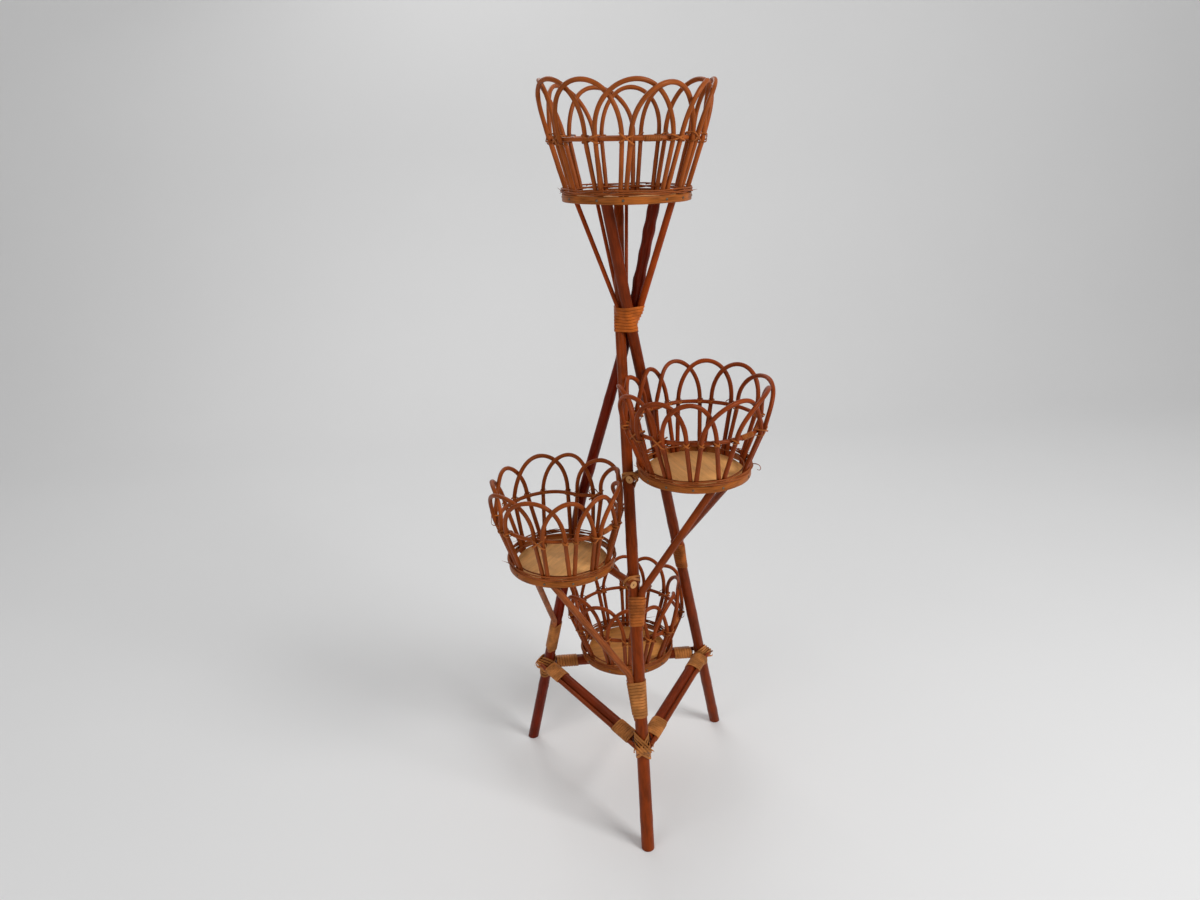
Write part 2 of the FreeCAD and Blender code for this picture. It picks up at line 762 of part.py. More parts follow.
def stretcher_lashing(name, side, at_end, turns):
    """Cane wound round a stretcher and the corner cane beside it."""
    first_name, second_name, start, end, outward, way = sides[side]
    if at_end:
        start, way = end, way * -1
    length = stretcher_lashing_pitch * turns
    origin = start - outward * cane_to_stretcher + way * (stretcher_lashing_start + length / 2)
    nodes = loop_nodes(origin, way, outward, stretcher_radius, cane_radius,
                       lambda t: cane_to_stretcher, length, turns, lashing_cane_diameter)
    return wound(name, nodes, lashing_cane_diameter)


for name, side, at_end, turns in (
        ("lashing_right_front", "right", False, stretcher_lashing_turns),
        ("lashing_right_rear", "right", True, stretcher_lashing_turns),
        ("lashing_rear_right", "rear", False, rear_right_lashing_turns),
        ("lashing_rear_left", "rear", True, rear_left_lashing_turns),
        ("lashing_left_rear", "left", False, stretcher_lashing_turns),
        ("lashing_left_front", "left", True, stretcher_lashing_turns)):
    parts[name] = stretcher_lashing(name, side, at_end, turns)


def corner_tie(name, pole_name):
    """Two diagonal windings that cross over a pole and the corner cane."""
    this_pole = poles[pole_name]
    centre = corner_centres[pole_name]
    along = pole_way(this_pole, stretcher_height)
    outward = unit(across(centre - triangle_middle, along))
    radius = pole_radius(this_pole, stretcher_height)
    spacing = radius + corner_cane_gap + cane_radius
    length = diagonal_pitch(tie_cane_diameter, corner_tie_slope_share) * corner_tie_turns
    ties = []
    cane_point = centre + unit(centre - triangle_middle) * corner_reaches[pole_name]
    origin = crossing(centre, along, outward, cane_point, along.cross(outward))
    for slope, grow in ((corner_tie_slope_share, 0), (-corner_tie_slope_share, tie_cane_diameter + clearance)):
        nodes = loop_nodes(origin, along, outward, radius, cane_radius, lambda t: spacing,
                           length, corner_tie_turns, tie_cane_diameter, slope, 0, grow)
        ties.append(wound(name, nodes, tie_cane_diameter))
    return Part.makeCompound(ties)


for pole_name, node in (("front", "corner_tie_front"), ("right", "corner_tie_right"),
                        ("left", "corner_tie_left")):
    parts[node] = corner_tie(node, pole_name)


# Arms under the two side baskets

def arm_line(rear_name, height, outside):
    """The arm's two points nearest the poles, its outward direction and its own."""
    front = pole_centre(poles["front"], height)
    rear = pole_centre(poles[rear_name], height)
    way = unit(rear - front)
    reaches = []
    for name in ("front", rear_name):
        along = pole_way(poles[name], height)
        level = UP.cross(way)
        need = pole_radius(poles[name], height) + arm_diameter / 2 + clearance
        reaches.append(need / abs(unit(along.cross(way)).dot(level)))
    return outer_tangent(front, rear, reaches[0], reaches[1], outside)


def arm_solid(rear_name, height, outside):
    start, end, outward, way = arm_line(rear_name, height, outside)
    length = (end - start).Length + arm_front_overhang + arm_rear_overhang
    return cylinder(arm_diameter / 2, length, start - way * arm_front_overhang, way)


def arm_tie(name, rear_name, height, outside, slope_share, rise):
    """Cane that binds the arm to the front pole with diagonal turns."""
    start, end, outward, way = arm_line(rear_name, height, outside)
    this_pole = poles["front"]
    along = pole_way(this_pole, height)
    side = unit(along.cross(way))
    if side.dot(outward) < 0:
        side = side * -1
    radius = pole_radius(this_pole, height)
    spacing = radius + arm_diameter / 2 + clearance
    arm_slope = way.dot(along) / way.dot(along.cross(side))
    slope = -math.copysign(1, arm_slope) * slope_share
    length = diagonal_pitch(tie_cane_diameter, slope) * arm_tie_turns
    origin = crossing(pole_centre(this_pole, height), along, side, start, way)
    nodes = loop_nodes(origin, along, side, radius, arm_diameter / 2, lambda t: spacing, length,
                       arm_tie_turns, tie_cane_diameter, slope, arm_slope, 0, rise)
    return wound(name, nodes, tie_cane_diameter)


for side, height, slope_share, rise in (
        ("left", left_arm_height, left_arm_tie_slope_share, left_arm_tie_rise),
        ("right", right_arm_height, right_arm_tie_slope_share, right_arm_tie_rise)):
    outside = baskets[side].place.Base
    parts[side + "_arm"] = arm_solid(side, height, outside)
    parts[side + "_arm_tie"] = arm_tie(side + "_arm_tie", side, height, outside, slope_share, rise)


# Braces under the two side baskets

def brace(name, pole_name, basket, diameter, foot, lap, reach, angle):
    """A bent rod, scarfed against its pole and cut flat under the basket, and its lashing."""
    this_pole = poles[pole_name]
    radius = diameter / 2
    bend_height = foot + lap
    tip = basket.place.multVec(turned(reach, angle, 0))
    along = pole_way(this_pole, bend_height)
    side = unit(across(tip - pole_centre(this_pole, bend_height), along))
    low_spacing = pole_radius(this_pole, foot) - radius + brace_sliver
    high_spacing = pole_radius(this_pole, bend_height) + radius + clearance
    low = pole_centre(this_pole, foot) + side * low_spacing
    bend = pole_centre(this_pole, bend_height) + side * high_spacing
    end = tip + unit(tip - bend) * (2 * diameter)
    rod = tube(rounded_path([low, bend, end], [brace_bend_radius]), radius)
    rod = rod.cut(pole_rod(this_pole, clearance)).cut(basket.ceiling())
    parts[name] = max(rod.Solids, key=lambda solid: solid.Volume)
    turns = int((lap - 3 * lashing_cane_diameter) / brace_lashing_pitch)
    length = turns * brace_lashing_pitch
    middle = foot + (lap - lashing_cane_diameter) / 2
    first_share = 1 / 2 - length / lap / 2
    nodes = loop_nodes(pole_centre(this_pole, middle), along, side, pole_radius(this_pole, middle), radius,
                       lambda t: low_spacing + (high_spacing - low_spacing) * (first_share + t * length / lap),
                       length, turns, lashing_cane_diameter)
    parts[name + "_lashing"] = wound(name + "_lashing", nodes, lashing_cane_diameter)


brace("left_long_brace", "front", baskets["left"], left_long_brace_diameter, left_long_brace_foot,
      left_long_brace_lap, left_long_brace_reach, left_long_brace_angle)
brace("left_short_brace", "left", baskets["left"], left_short_brace_diameter, left_short_brace_foot,
      left_short_brace_lap, left_short_brace_reach, left_short_brace_angle)
right_long_brace_foot = left_arm_height - right_long_brace_below_arm - right_long_brace_lap
brace("right_long_brace", "front", baskets["right"], right_long_brace_diameter, right_long_brace_foot,
      right_long_brace_lap, right_long_brace_reach, right_long_brace_angle)
brace("right_short_brace", "right", baskets["right"], right_short_brace_diameter, right_short_brace_foot,
      right_short_brace_lap, right_short_brace_reach, right_short_brace_angle)


# Crown: struts and lashing

def waist_middle(height):
    centres = [pole_centre(this_pole, height) for this_pole in poles.values()]
    return (centres[0] + centres[1] + centres[2]) / len(centres)


def strut_line(diameter, foot_angle, top_angle):
    """The middle line of a strut: its foot nests against the poles at the waist."""
    middle = waist_middle(strut_foot_height)
    way = turned(1, foot_angle, 0)
    reach = 0
    for this_pole in poles.values():
        need = pole_radius(this_pole, strut_foot_height) + diameter / 2 + 2 * clearance
        offset = pole_centre(this_pole, strut_foot_height) - middle
        ahead = offset.dot(way)
        aside = across(offset, way).Length
        if aside < need:
            reach = max(reach, ahead + math.sqrt(need * need - aside * aside))
    return middle + way * reach, baskets["top"].place.multVec(turned(strut_top_reach, top_angle, 0))


struts = {}
for name, diameter, foot_angle, top_angle in zip(
        ("crown_strut_left", "crown_strut_rear_left", "crown_strut_rear", "crown_strut_right"),
        strut_diameters, strut_foot_angles, strut_top_angles):
    foot, top = strut_line(diameter, foot_angle, top_angle)
    rod = cylinder(diameter / 2, (top - foot).Length + 2 * diameter, foot, unit(top - foot))
    parts[name] = rod.cut(baskets["top"].ceiling())
    struts[name] = (foot, top, diameter)


def crown_point(t):
    """A point of the crown lashing, just outside every pole and strut at its height."""
    height = crown_lashing_bottom + crown_lashing_height * t
    middle = waist_middle(height)
    reach = 0
    for this_pole in poles.values():
        out = (pole_centre(this_pole, height) - middle).Length / pole_way(this_pole, height).dot(UP)
        reach = max(reach, out + pole_radius(this_pole, height) / pole_way(this_pole, height).dot(UP))
    for foot, top, diameter in struts.values():
        strut = foot + (top - foot) * ((height - foot.z) / (top.z - foot.z))
        lean = unit(top - foot).dot(UP)
        reach = max(reach, (strut - middle).Length + diameter / 2 / lean)
    angle = 360 * crown_lashing_turns * t
    return middle + turned(reach + clearance + lashing_cane_diameter / 2, angle, 0)


parts["crown_lashing"] = wound("crown_lashing", traced_nodes(crown_point, 4 * crown_lashing_turns),
                               lashing_cane_diameter)


# Export

shift = FreeCAD.Vector(-axis_x, -axis_y, 0)
for name, shape in parts.items():
    shape.translate(shift)
    shape.exportStep("parts/" + name + ".step")
print(len(parts), "nodes")
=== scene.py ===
from math import (acos, asin, atan2, copysign, cos, degrees, exp, hypot, pi, radians, remainder,
                  sin, sqrt, tan)
import random

import bmesh
import bpy
from mathutils import Matrix, Vector


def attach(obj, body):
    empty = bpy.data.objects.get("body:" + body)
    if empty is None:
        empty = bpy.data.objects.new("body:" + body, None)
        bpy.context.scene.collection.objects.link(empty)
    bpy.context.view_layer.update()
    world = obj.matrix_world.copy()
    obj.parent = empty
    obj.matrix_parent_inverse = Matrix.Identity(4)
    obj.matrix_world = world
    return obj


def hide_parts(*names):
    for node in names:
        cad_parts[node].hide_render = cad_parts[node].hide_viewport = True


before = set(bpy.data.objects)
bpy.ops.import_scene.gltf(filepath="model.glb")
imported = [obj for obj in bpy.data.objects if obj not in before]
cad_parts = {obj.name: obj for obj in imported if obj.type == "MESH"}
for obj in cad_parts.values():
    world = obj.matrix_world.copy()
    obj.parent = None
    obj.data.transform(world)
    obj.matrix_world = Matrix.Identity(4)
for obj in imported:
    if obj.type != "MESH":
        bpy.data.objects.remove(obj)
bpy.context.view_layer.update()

# Sizes in millimetres, as in the solids, and angles in degrees. SHIFT takes the frame that the
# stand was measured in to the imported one.
MM = 0.001
UP = Vector((0, 0, 1))
SHIFT = Vector((6.2, 6.0, 0))
SEAT_GAP = 0.3
FOOT_REACH = 187.5
POLE_TOP = 917.0
POLE_BEND_RADIUS = 300.0
FRAME_HEIGHT = 158.0
STRETCHER_RADIUS = 8.0
CANE_RADIUS = 3.4
CORNER_GAP = 0.4
ARM_RADIUS = 5.5
ARM_OVERHANG = 20.0
BRACE_SLIVER = 1.6
HOOP_HEIGHT = 10.0
HOOP_THICKNESS = 2.4
BOARD_THICKNESS = 5.0
STAKE_RADIUS = 3.25
STAKE_BEND_HEIGHT = 12.5
STAKE_BEND_RADIUS = 25.0
STAKE_FOOT = 0.4
RING_RADIUS = 2.8
SWAY = 4.3
PRESSED_ANGLE = 20.0
STRAND_RADIUS = 1.25
NAIL_RADIUS = 1.8
NAIL_PROUD = 0.1
TIE_CANE = 2.4
LASHING_CANE = 3.2
BRACE_PITCH = 5.0
CROWN_LOW = 741.0
CROWN_RISE = 35.0
CROWN_TURNS = 8
STRUT_FOOT = 768.0
STRUT_REACH = 70.0

# Cane strips, and how far a strip's middle lies off what it is wound on
STRIP_THICKNESS = 1.1
STRIP_WIDTH = 4.0
STRIP_SHARE = 0.9
LASHING_PITCH = 4.5
TIE_STRIP_WIDTH = 3.6
ARM_TIE_SHARE = 0.95
TIE_TURN_GAP = 0.25
LAID = SEAT_GAP / 2 + STRIP_THICKNESS / 2

# How finely lines are drawn
ARCH_STEPS = 40
ARCH_STEP = 3.2
POLE_STEP = 4.0
CROWN_STEP = 1.6
EASE_ROUNDS = 3
BEND_STEPS = 8
RING_STEPS = 180
WRAP_STEPS = 44
CROWN_STEPS = 48


def turned(reach, angle, height):
    a = radians(angle)
    return Vector((reach * cos(a), reach * sin(a), height))


def across(vector, direction):
    return vector - direction * vector.dot(direction)


# Smooth lines through points

def rounded(points, radius):
    """A line of straight runs with an arc of the radius at each inner point."""
    line = [points[0]]
    for before, corner, after in zip(points, points[1:], points[2:]):
        inward = (corner - before).normalized()
        outward = (after - corner).normalized()
        half = inward.angle(outward, 0) / 2
        start = corner - inward * (radius * tan(half))
        sideways = across(outward, inward)
        if sideways.length < 1e-6:
            line.append(corner)
            continue
        sideways.normalize()
        for k in range(BEND_STEPS + 1):
            a = 2 * half * k / BEND_STEPS
            line.append(start + inward * (radius * sin(a)) + sideways * (radius * (1 - cos(a))))
    return line + [points[-1]]


def even(points, step):
    """The same line with its points one step apart."""
    lengths = [0]
    for a, b in zip(points, points[1:]):
        lengths.append(lengths[-1] + (b - a).length)
    count = max(2, round(lengths[-1] / step))
    line = []
    i = 0
    for k in range(count + 1):
        run = lengths[-1] * k / count
        while i < len(points) - 2 and lengths[i + 1] < run:
            i += 1
        span = lengths[i + 1] - lengths[i]
        line.append(points[i].lerp(points[i + 1], (run - lengths[i]) / span if span else 0))
    return line


def eased(points):
    """The same line with its small corners drawn out."""
    for _ in range(EASE_ROUNDS):
        inner = [(a + b * 2 + c) / 4 for a, b, c in zip(points, points[1:], points[2:])]
        points = [points[0]] + inner + [points[-1]]
    return points


# Tripod poles

def pole(foot_angle, foot_diameter, bends, top_reach, top_angle, top_diameter):
    foot = turned(FOOT_REACH, foot_angle, 0)
    return {"points": [foot] + bends + [turned(top_reach, top_angle, POLE_TOP)],
            "foot": foot_diameter / 2, "top": top_diameter / 2}


WAIST = Vector((5.7, -0.5, 744.0))
POLES = {
    "front": pole(-90, 19.4, [WAIST + turned(10.1, 187, 0)], 41.0, 87, 13.4),
    "right": pole(30, 17.4, [WAIST + turned(9.0, -54, 0)], 38.6, 235, 15.4),
    "left": pole(150, 17.7, [turned(79.5, 145, 470.0), WAIST + turned(9.9, 61, 0)],
                 45.7, -15, 14.2),
}


def pole_run(p, height):
    for low, high in zip(p["points"], p["points"][1:]):
        if height <= high.z:
            return low, high
    return p["points"][-2], p["points"][-1]


def pole_centre(p, height):
    low, high = pole_run(p, height)
    return low.lerp(high, (height - low.z) / (high.z - low.z))


def pole_way(p, height):
    low, high = pole_run(p, height)
    return (high - low).normalized()


def pole_radius(p, height):
    return p["foot"] + (p["top"] - p["foot"]) * height / POLE_TOP


# Baskets

def around(angles, index):
    """The angle at an index that may run past either end of the circle."""
    return angles[index % len(angles)] + 360 * (index // len(angles))


class Basket:
    """The solids' own rules for a basket, on points measured from its underside's middle."""

    def __init__(self, place, hoop, ring, ring_height, rim, rim_height, tilt, tilt_towards, lean,
                 pairs, low, high, heights, pressed_by, winding_angle):
        towards = turned(1, tilt_towards, 0)
        turn = Matrix.Rotation(radians(tilt), 4, UP.cross(towards))
        self.matrix = Matrix.Translation(place) @ turn
        self.back = self.matrix.inverted()
        self.base = place
        self.hoop = hoop / 2
        self.stakes = hoop / 2 - HOOP_THICKNESS - SEAT_GAP - STAKE_RADIUS
        self.board = self.stakes - STAKE_RADIUS - SEAT_GAP
        self.ring_height = ring_height
        touching = RING_RADIUS + STAKE_RADIUS + SEAT_GAP
        out = ring / 2 + touching + lean - self.stakes
        self.ring_spacing = touching * hypot(1, out / (ring_height - STAKE_BEND_HEIGHT))
        self.wall_at_ring = ring / 2 + self.ring_spacing
        self.wall_at_rim = rim / 2
        self.rim_height = rim_height
        self.lean_way = towards * (lean / ring_height)
        self.pairs, self.low, self.high, self.heights = pairs, low, high, heights
        self.pressed_by = [POLES[name] for name in pressed_by]
        self.winding_angle = winding_angle

    def wall(self, reach, angle, height, sway=0):
        """A point of the wall, drawn in where a pole beside the basket presses on it."""
        middle = self.lean_way * height
        for p in self.pressed_by:
            world = self.base.z + height
            beside = self.back @ pole_centre(p, world) - middle
            taken = pole_radius(p, world) + 2 * SEAT_GAP + TIE_CANE
            room = hypot(beside.x, beside.y) - taken - STAKE_RADIUS - abs(sway)
            offset = remainder(angle - degrees(atan2(beside.y, beside.x)), 360)
            reach -= max(0, reach - room) * exp(-(offset / PRESSED_ANGLE) ** 2)
        return turned(reach - sway, angle, height) + middle

    def ring_centre(self, angle):
        at_ring = self.wall(self.wall_at_ring, angle, self.ring_height)
        return at_ring - turned(self.ring_spacing, angle, 0)

    def arch_ends(self, index):
        """The angles of an arch's two stakes at the hoop, and at the ring."""
        half_pair = degrees(asin((STAKE_RADIUS + SEAT_GAP / 2) / self.stakes))
        base = (around(self.pairs, index - 1) + half_pair,
                around(self.pairs, index + 1) - half_pair)
        return base, (around(self.high, index - 1), around(self.low, index + 1))

    def arch_point(self, index, t):
        low, high = self.arch_ends(index)[1]
        theta = radians(180 * t - 90)
        angle = (low + high) / 2 + (high - low) / 2 * sin(theta)
        top = self.rim_height * self.heights[index]
        height = self.ring_height + (top - self.ring_height) * cos(theta)
        reach = self.wall_at_ring + (self.wall_at_rim - self.wall_at_ring) * cos(theta)
        return self.wall(reach, angle, height, SWAY * sin(2 * theta))

    def stake(self, base_angle, ring_angle):
        points = [turned(self.stakes, base_angle, STAKE_FOOT),
                  turned(self.stakes, base_angle, STAKE_BEND_HEIGHT),
                  self.wall(self.wall_at_ring, ring_angle, self.ring_height)]
        return rounded(points, STAKE_BEND_RADIUS)

    def arch(self, index):
        base, ring = self.arch_ends(index)
        over = [self.arch_point(index, k / ARCH_STEPS) for k in range(1, ARCH_STEPS)]
        line = self.stake(base[0], ring[0]) + over + self.stake(base[1], ring[1])[::-1]
        return self.put(eased(even(line, ARCH_STEP)))

    def put(self, points):
        return [self.matrix @ p for p in points]

    def put_way(self, ways):
        return [(self.matrix.to_3x3() @ w).normalized() for w in ways]


# Each row: the underside's middle; the sizes of hoop, ring and rim; the tilt, its side and the
# lean; the angles of the pairs of stakes at the hoop and of each pair's two at the ring; the
# arches' heights; the poles that press on the wall; the angle of the ring's winding.
BASKETS = {
    "top": Basket(
        Vector((8.4, 3.5, 917.5)), 172.0, 187.0, 78.0, 224.0, 147.0, 1.2, 55.0, 0.0,
        [22, 53, 74, 106, 137, 171, 204, 237, 260, 299, 320, 351],
        [19, 50, 71, 103, 134, 168, 201, 233, 260, 298, 319, 348],
        [25, 56, 77, 109, 140, 174, 207, 241, 266, 305, 325, 354],
        [1.02, 1.01, 0.98, 0.98, 0.99, 1.02, 1.01, 0.99, 0.98, 0.955, 0.975, 1.0],
        [], 283.0),
    "right": Basket(
        Vector((87.2, -74.5, 552.8)), 158.0, 180.0, 76.5, 202.0, 135.0, 0.0, -105.0, 5.0,
        [10, 41, 70, 101, 125, 150, 178, 207, 231, 258, 288, 328],
        [6, 39, 64, 93, 118, 146, 173, 203, 228, 253, 276, 323],
        [16, 46, 74, 104, 130, 153, 182, 210, 234, 264, 292, 331],
        [0.98, 1.01, 1.01, 1.01, 0.99, 0.97, 0.97, 0.97, 0.97, 0.98, 0.98, 0.98],
        ["front", "right"], 308.0),
    "left": Basket(
        Vector((-101.7, -38.7, 407.0)), 156.0, 175.0, 79.0, 189.0, 138.0, 0.0, -90.0, 4.0,
        [8, 43, 73, 111, 143, 177, 211, 248, 278, 305, 332],
        [3, 43, 68, 103, 134, 172, 206, 245, 271, 297, 325],
        [13, 51, 79, 119, 147, 180, 215, 252, 280, 302, 334],
        [1.0, 1.0, 1.0, 1.0, 0.97, 0.96, 0.98, 1.0, 1.0, 1.0, 1.0],
        ["front", "left"], 314.0),
    "bottom": Basket(
        Vector((6.0, 86.0, 166.3)), 153.0, 172.0, 72.0, 184.0, 130.0, 0.0, -90.0, 0.0,
        [35, 60, 85, 112, 143, 175, 208, 241, 264, 288, 312, 353],
        [32, 57, 82, 109, 140, 172, 205, 238, 261, 285, 309, 350],
        [38, 63, 88, 115, 146, 178, 211, 244, 267, 291, 315, 356],
        [1.0] * 12, ["right", "left"], 332.0),
}


# Nodes and their maths

class Wire:
    """A socket that adds Math nodes when it is used in a sum."""

    def __init__(self, tree, socket):
        self.tree = tree
        self.socket = socket

    def _math(self, operation, first, second):
        return self.tree.node("ShaderNodeMath", {0: first, 1: second}, operation=operation)

    def __add__(self, other):
        return self._math("ADD", self, other)

    def __radd__(self, other):
        return self._math("ADD", other, self)

    def __sub__(self, other):
        return self._math("SUBTRACT", self, other)

    def __rsub__(self, other):
        return self._math("SUBTRACT", other, self)

    def __mul__(self, other):
        return self._math("MULTIPLY", self, other)

    def __rmul__(self, other):
        return self._math("MULTIPLY", other, self)


class Tree:
    """The nodes of one material or of one tree that makes geometry."""

    def __init__(self, group):
        self.group = group

    def node(self, kind, values=None, output=0, **settings):
        """Adds a node, sets it up, fills or joins its sockets, and gives one of its outputs."""
        made = self.group.nodes.new(kind)
        for key, value in settings.items():
            setattr(made, key, value)
        for key, value in (values or {}).items():
            if isinstance(value, Wire):
                self.group.links.new(value.socket, made.inputs[key])
            elif value is not None:
                made.inputs[key].default_value = value
        return Wire(self, made.outputs[output]) if len(made.outputs) else None

    def vector(self, operation, first, second=None, scale=None):
        """Vector maths. A dot product and a length are numbers, on the second output."""
        output = 1 if operation in ("DOT_PRODUCT", "LENGTH") else 0
        return self.node("ShaderNodeVectorMath", {0: first, 1: second, "Scale": scale}, output,
                         operation=operation)


# Materials

# The warm, dull gloss that all the stand's wood and cane have
GLOSS = {"Coat Roughness": 0.25, "Coat Tint": (1.0, 0.8, 0.6, 1.0),
         "Specular IOR Level": 0.15, "Specular Tint": (1.0, 0.55, 0.28, 1.0)}
GRAIN_SCALE = 1000 / 3


class Finish(Tree):
    """One material and the nodes it is made of."""

    def __init__(self, name):
        self.material = bpy.data.materials.new(name)
        self.material.use_nodes = True
        super().__init__(self.material.node_tree)
        self.group.nodes.clear()

    def blend(self, factor, first, second):
        return self.node("ShaderNodeMix", {0: factor, 6: first, 7: second}, 2, data_type="RGBA")

    def noise(self, where, scale, detail, roughness=0.5):
        return self.node("ShaderNodeTexNoise", {
            "Vector": where, "Scale": scale, "Detail": detail, "Roughness": roughness})

    def ramp(self, factor, low, high):
        """0 below low, 1 above high, and smooth between."""
        return self.node("ShaderNodeMapRange", {
            "Value": factor, "From Min": low, "From Max": high}, interpolation_type="SMOOTHSTEP")

    def object_place(self):
        return self.node("ShaderNodeTexCoord", output="Object")

    def attribute(self, name, output="Fac"):
        return self.node("ShaderNodeAttribute", None, output, attribute_name=name)

    def bump(self, height, depth):
        return self.node("ShaderNodeBump", {"Height": height, "Distance": depth})

    def surface(self, values):
        """Ends in one shader with these values, and gives the material."""
        shader = self.node("ShaderNodeBsdfPrincipled", values)
        self.node("ShaderNodeOutputMaterial", {"Surface": shader})
        return self.material

    def varnished(self, colour, roughness, height, depth, coat):
        return self.surface({"Base Color": colour, "Roughness": roughness, "Coat Weight": coat,
                             "Normal": self.bump(height, depth), **GLOSS})


def shade(red, green, blue):
    """A colour given as it looks on a screen, 0 to 255, in the values a shader takes."""
    return tuple((c / 255 / 12.92 if c < 11 else ((c / 255 + 0.055) / 1.055) ** 2.4)
                 for c in (red, green, blue)) + (1.0,)


def tones(red, green, blue, spread=0.2):
    """A lighter, a middle and a darker tone of one colour."""
    middle = shade(red, green, blue)
    return [tuple(c * share for c in middle[:3]) + (1.0,)
            for share in (1 + 1.6 * spread, 1, 1 - 1.8 * spread)]


def swept_grain(f, stretch):
    """Coordinates on a swept rod or strip: fast round it, slow along it, and its own for each."""
    tone = f.attribute("tone")
    joined = f.node("ShaderNodeCombineXYZ", {
        0: tone * 3.1, 1: tone * 5.3, 2: f.attribute("along") * (stretch * GRAIN_SCALE)})
    return f.vector("ADD", f.attribute("ring", "Vector"), joined)


def solid_grain(f, axis, stretch):
    """Coordinates on a solid rod that lies on axis: slow along it."""
    place = f.object_place()
    along = f.vector("SCALE", axis, scale=f.vector("DOT_PRODUCT", place, axis) * (1 - stretch))
    return f.vector("SCALE", f.vector("SUBTRACT", place, along), scale=GRAIN_SCALE)


def sawn_end(f, colour, point, way):
    """Pale wood with a dark pith on the face that a straight rod was cut off at."""
    point = (point + SHIFT) * MM
    place = f.object_place()
    run = f.vector("DOT_PRODUCT", place, way)
    near = f.vector("SUBTRACT", place, point)
    aside = f.vector("LENGTH", f.vector("CROSS_PRODUCT", near, way))
    rings = f.noise(f.node("ShaderNodeCombineXYZ", {0: aside * 900.0}), 1.0, 2.0)
    face = f.blend(f.ramp(rings, 0.4, 0.6), shade(176, 122, 72), shade(206, 160, 106))
    face = f.blend(f.ramp(aside, 0.0008, 0.0017), shade(92, 50, 26), face)
    return f.blend(f.ramp(run, point.dot(way) + 0.0004, point.dot(way) + 0.0008), face, colour)


def willow(name, light, middle, dark, axis=None, coat=0.08, roughness=0.42, stretch=0.06,
           cut_end=None):
    """Varnished peeled willow: fine streaks along the rod, darker patches and a soft gloss."""
    f = Finish(name)
    where = solid_grain(f, axis, stretch) if axis else swept_grain(f, stretch)
    place = f.object_place()
    streaks = f.noise(where, 2.6, 4.0, 0.6)
    patches = f.noise(place, 22.0, 2.0)
    specks = f.noise(place, 420.0, 1.0)
    colour = f.blend(f.ramp(streaks, 0.36, 0.62), dark, middle)
    colour = f.blend(f.ramp(patches, 0.45, 0.72) * 0.6, colour, light)
    colour = f.blend(f.ramp(specks, 0.66, 0.74) * 0.45, colour, dark)
    if not axis:
        colour = f.blend(f.attribute("tone") * 0.28, colour, dark)
    if cut_end:
        colour = sawn_end(f, colour, *cut_end)
    return f.varnished(colour, roughness + (streaks - 0.5) * 0.25, streaks * 0.7 + specks * 0.3,
                       depth=0.0003, coat=coat)


def cane(name, light, middle, dark):
    """Split cane: fine long fibres, uneven colour from strip to strip and dull gloss."""
    f = Finish(name)
    fibres = f.noise(swept_grain(f, 0.03), 7.0, 4.0, 0.65)
    patches = f.noise(f.object_place(), 60.0, 2.0)
    colour = f.blend(f.ramp(fibres, 0.34, 0.66), dark, middle)
    colour = f.blend(f.ramp(patches, 0.4, 0.65) * 0.75, colour, light)
    return f.varnished(colour, 0.5 + (fibres - 0.5) * 0.3, fibres, depth=0.0002, coat=0.06)


def plywood(name, light, middle, dark, angle):
    """A pale veneered board with long grain lines and dark stains that have run in."""
    f = Finish(name)
    place = f.object_place()
    turned_place = f.node("ShaderNodeVectorRotate", {
        "Vector": place, "Angle": radians(angle)}, rotation_type="Z_AXIS")
    scaled = f.vector("MULTIPLY", turned_place, (14.0, 150.0, 150.0))
    lines = f.noise(scaled, 1.0, 5.0, 0.6)
    fine = f.noise(scaled, 6.0, 2.0)
    stain = f.noise(place, 30.0, 3.0)
    colour = f.blend(f.ramp(lines, 0.35, 0.65), middle, light)
    colour = f.blend(f.ramp(fine, 0.55, 0.72) * 0.5, colour, dark)
    colour = f.blend(f.ramp(stain, 0.58, 0.74) * 0.5, colour, dark)
    return f.varnished(colour, 0.55 + (lines - 0.5) * 0.2, fine * 0.5 + lines * 0.5,
                       depth=0.0003, coat=0.04)


def metal(name, colour, dark):
    f = Finish(name)
    spots = f.noise(f.object_place(), 900.0, 2.0)
    return f.surface({
        "Base Color": f.blend(f.ramp(spots, 0.45, 0.65), colour, dark), "Metallic": 0.85,
        "Roughness": 0.4 + spots * 0.2, "Normal": f.bump(spots, depth=0.0001)})


# The left pole's darker, redder tone is partly the wood's own colour and partly painted shade.
POLE_TONES = {"front": tones(126, 50, 12), "right": tones(114, 42, 10), "left": tones(104, 24, 4)}
BASKET_TONES = {"top": tones(156, 80, 34), "right": tones(138, 58, 20),
                "left": tones(144, 68, 24), "bottom": tones(140, 62, 22)}
STRETCHER_TONES = tones(116, 42, 14)
CORNER_TONES = tones(128, 54, 20)
STRUT_TONES = tones(144, 56, 12)
BOARD_TONES = {"top": tones(206, 150, 90, 0.16), "right": tones(206, 150, 90, 0.16),
               "left": tones(212, 158, 98, 0.16), "bottom": tones(186, 124, 64, 0.18)}

pole_woods = {name: willow("varnished_pole_" + name, *shades, coat=0.12, roughness=0.36)
              for name, shades in POLE_TONES.items()}
stake_woods = {name: willow("varnished_stake_" + name, *shades)
               for name, shades in BASKET_TONES.items()}
strand_wood = willow("thin_strand", *tones(150, 78, 36, 0.25), roughness=0.5)
hoop_wood = willow("hoop_veneer", *tones(158, 88, 36, 0.28))
cane_strip = cane("cane_strip", *tones(172, 110, 58, 0.25))
middle_cane = cane("middle_cane_strip", *tones(156, 86, 38, 0.25))
red_cane = cane("red_cane_strip", *tones(172, 88, 32, 0.22))
nail_metal = metal("nail_head", shade(120, 104, 88), shade(62, 46, 34))


# Trees that lay a section along a line

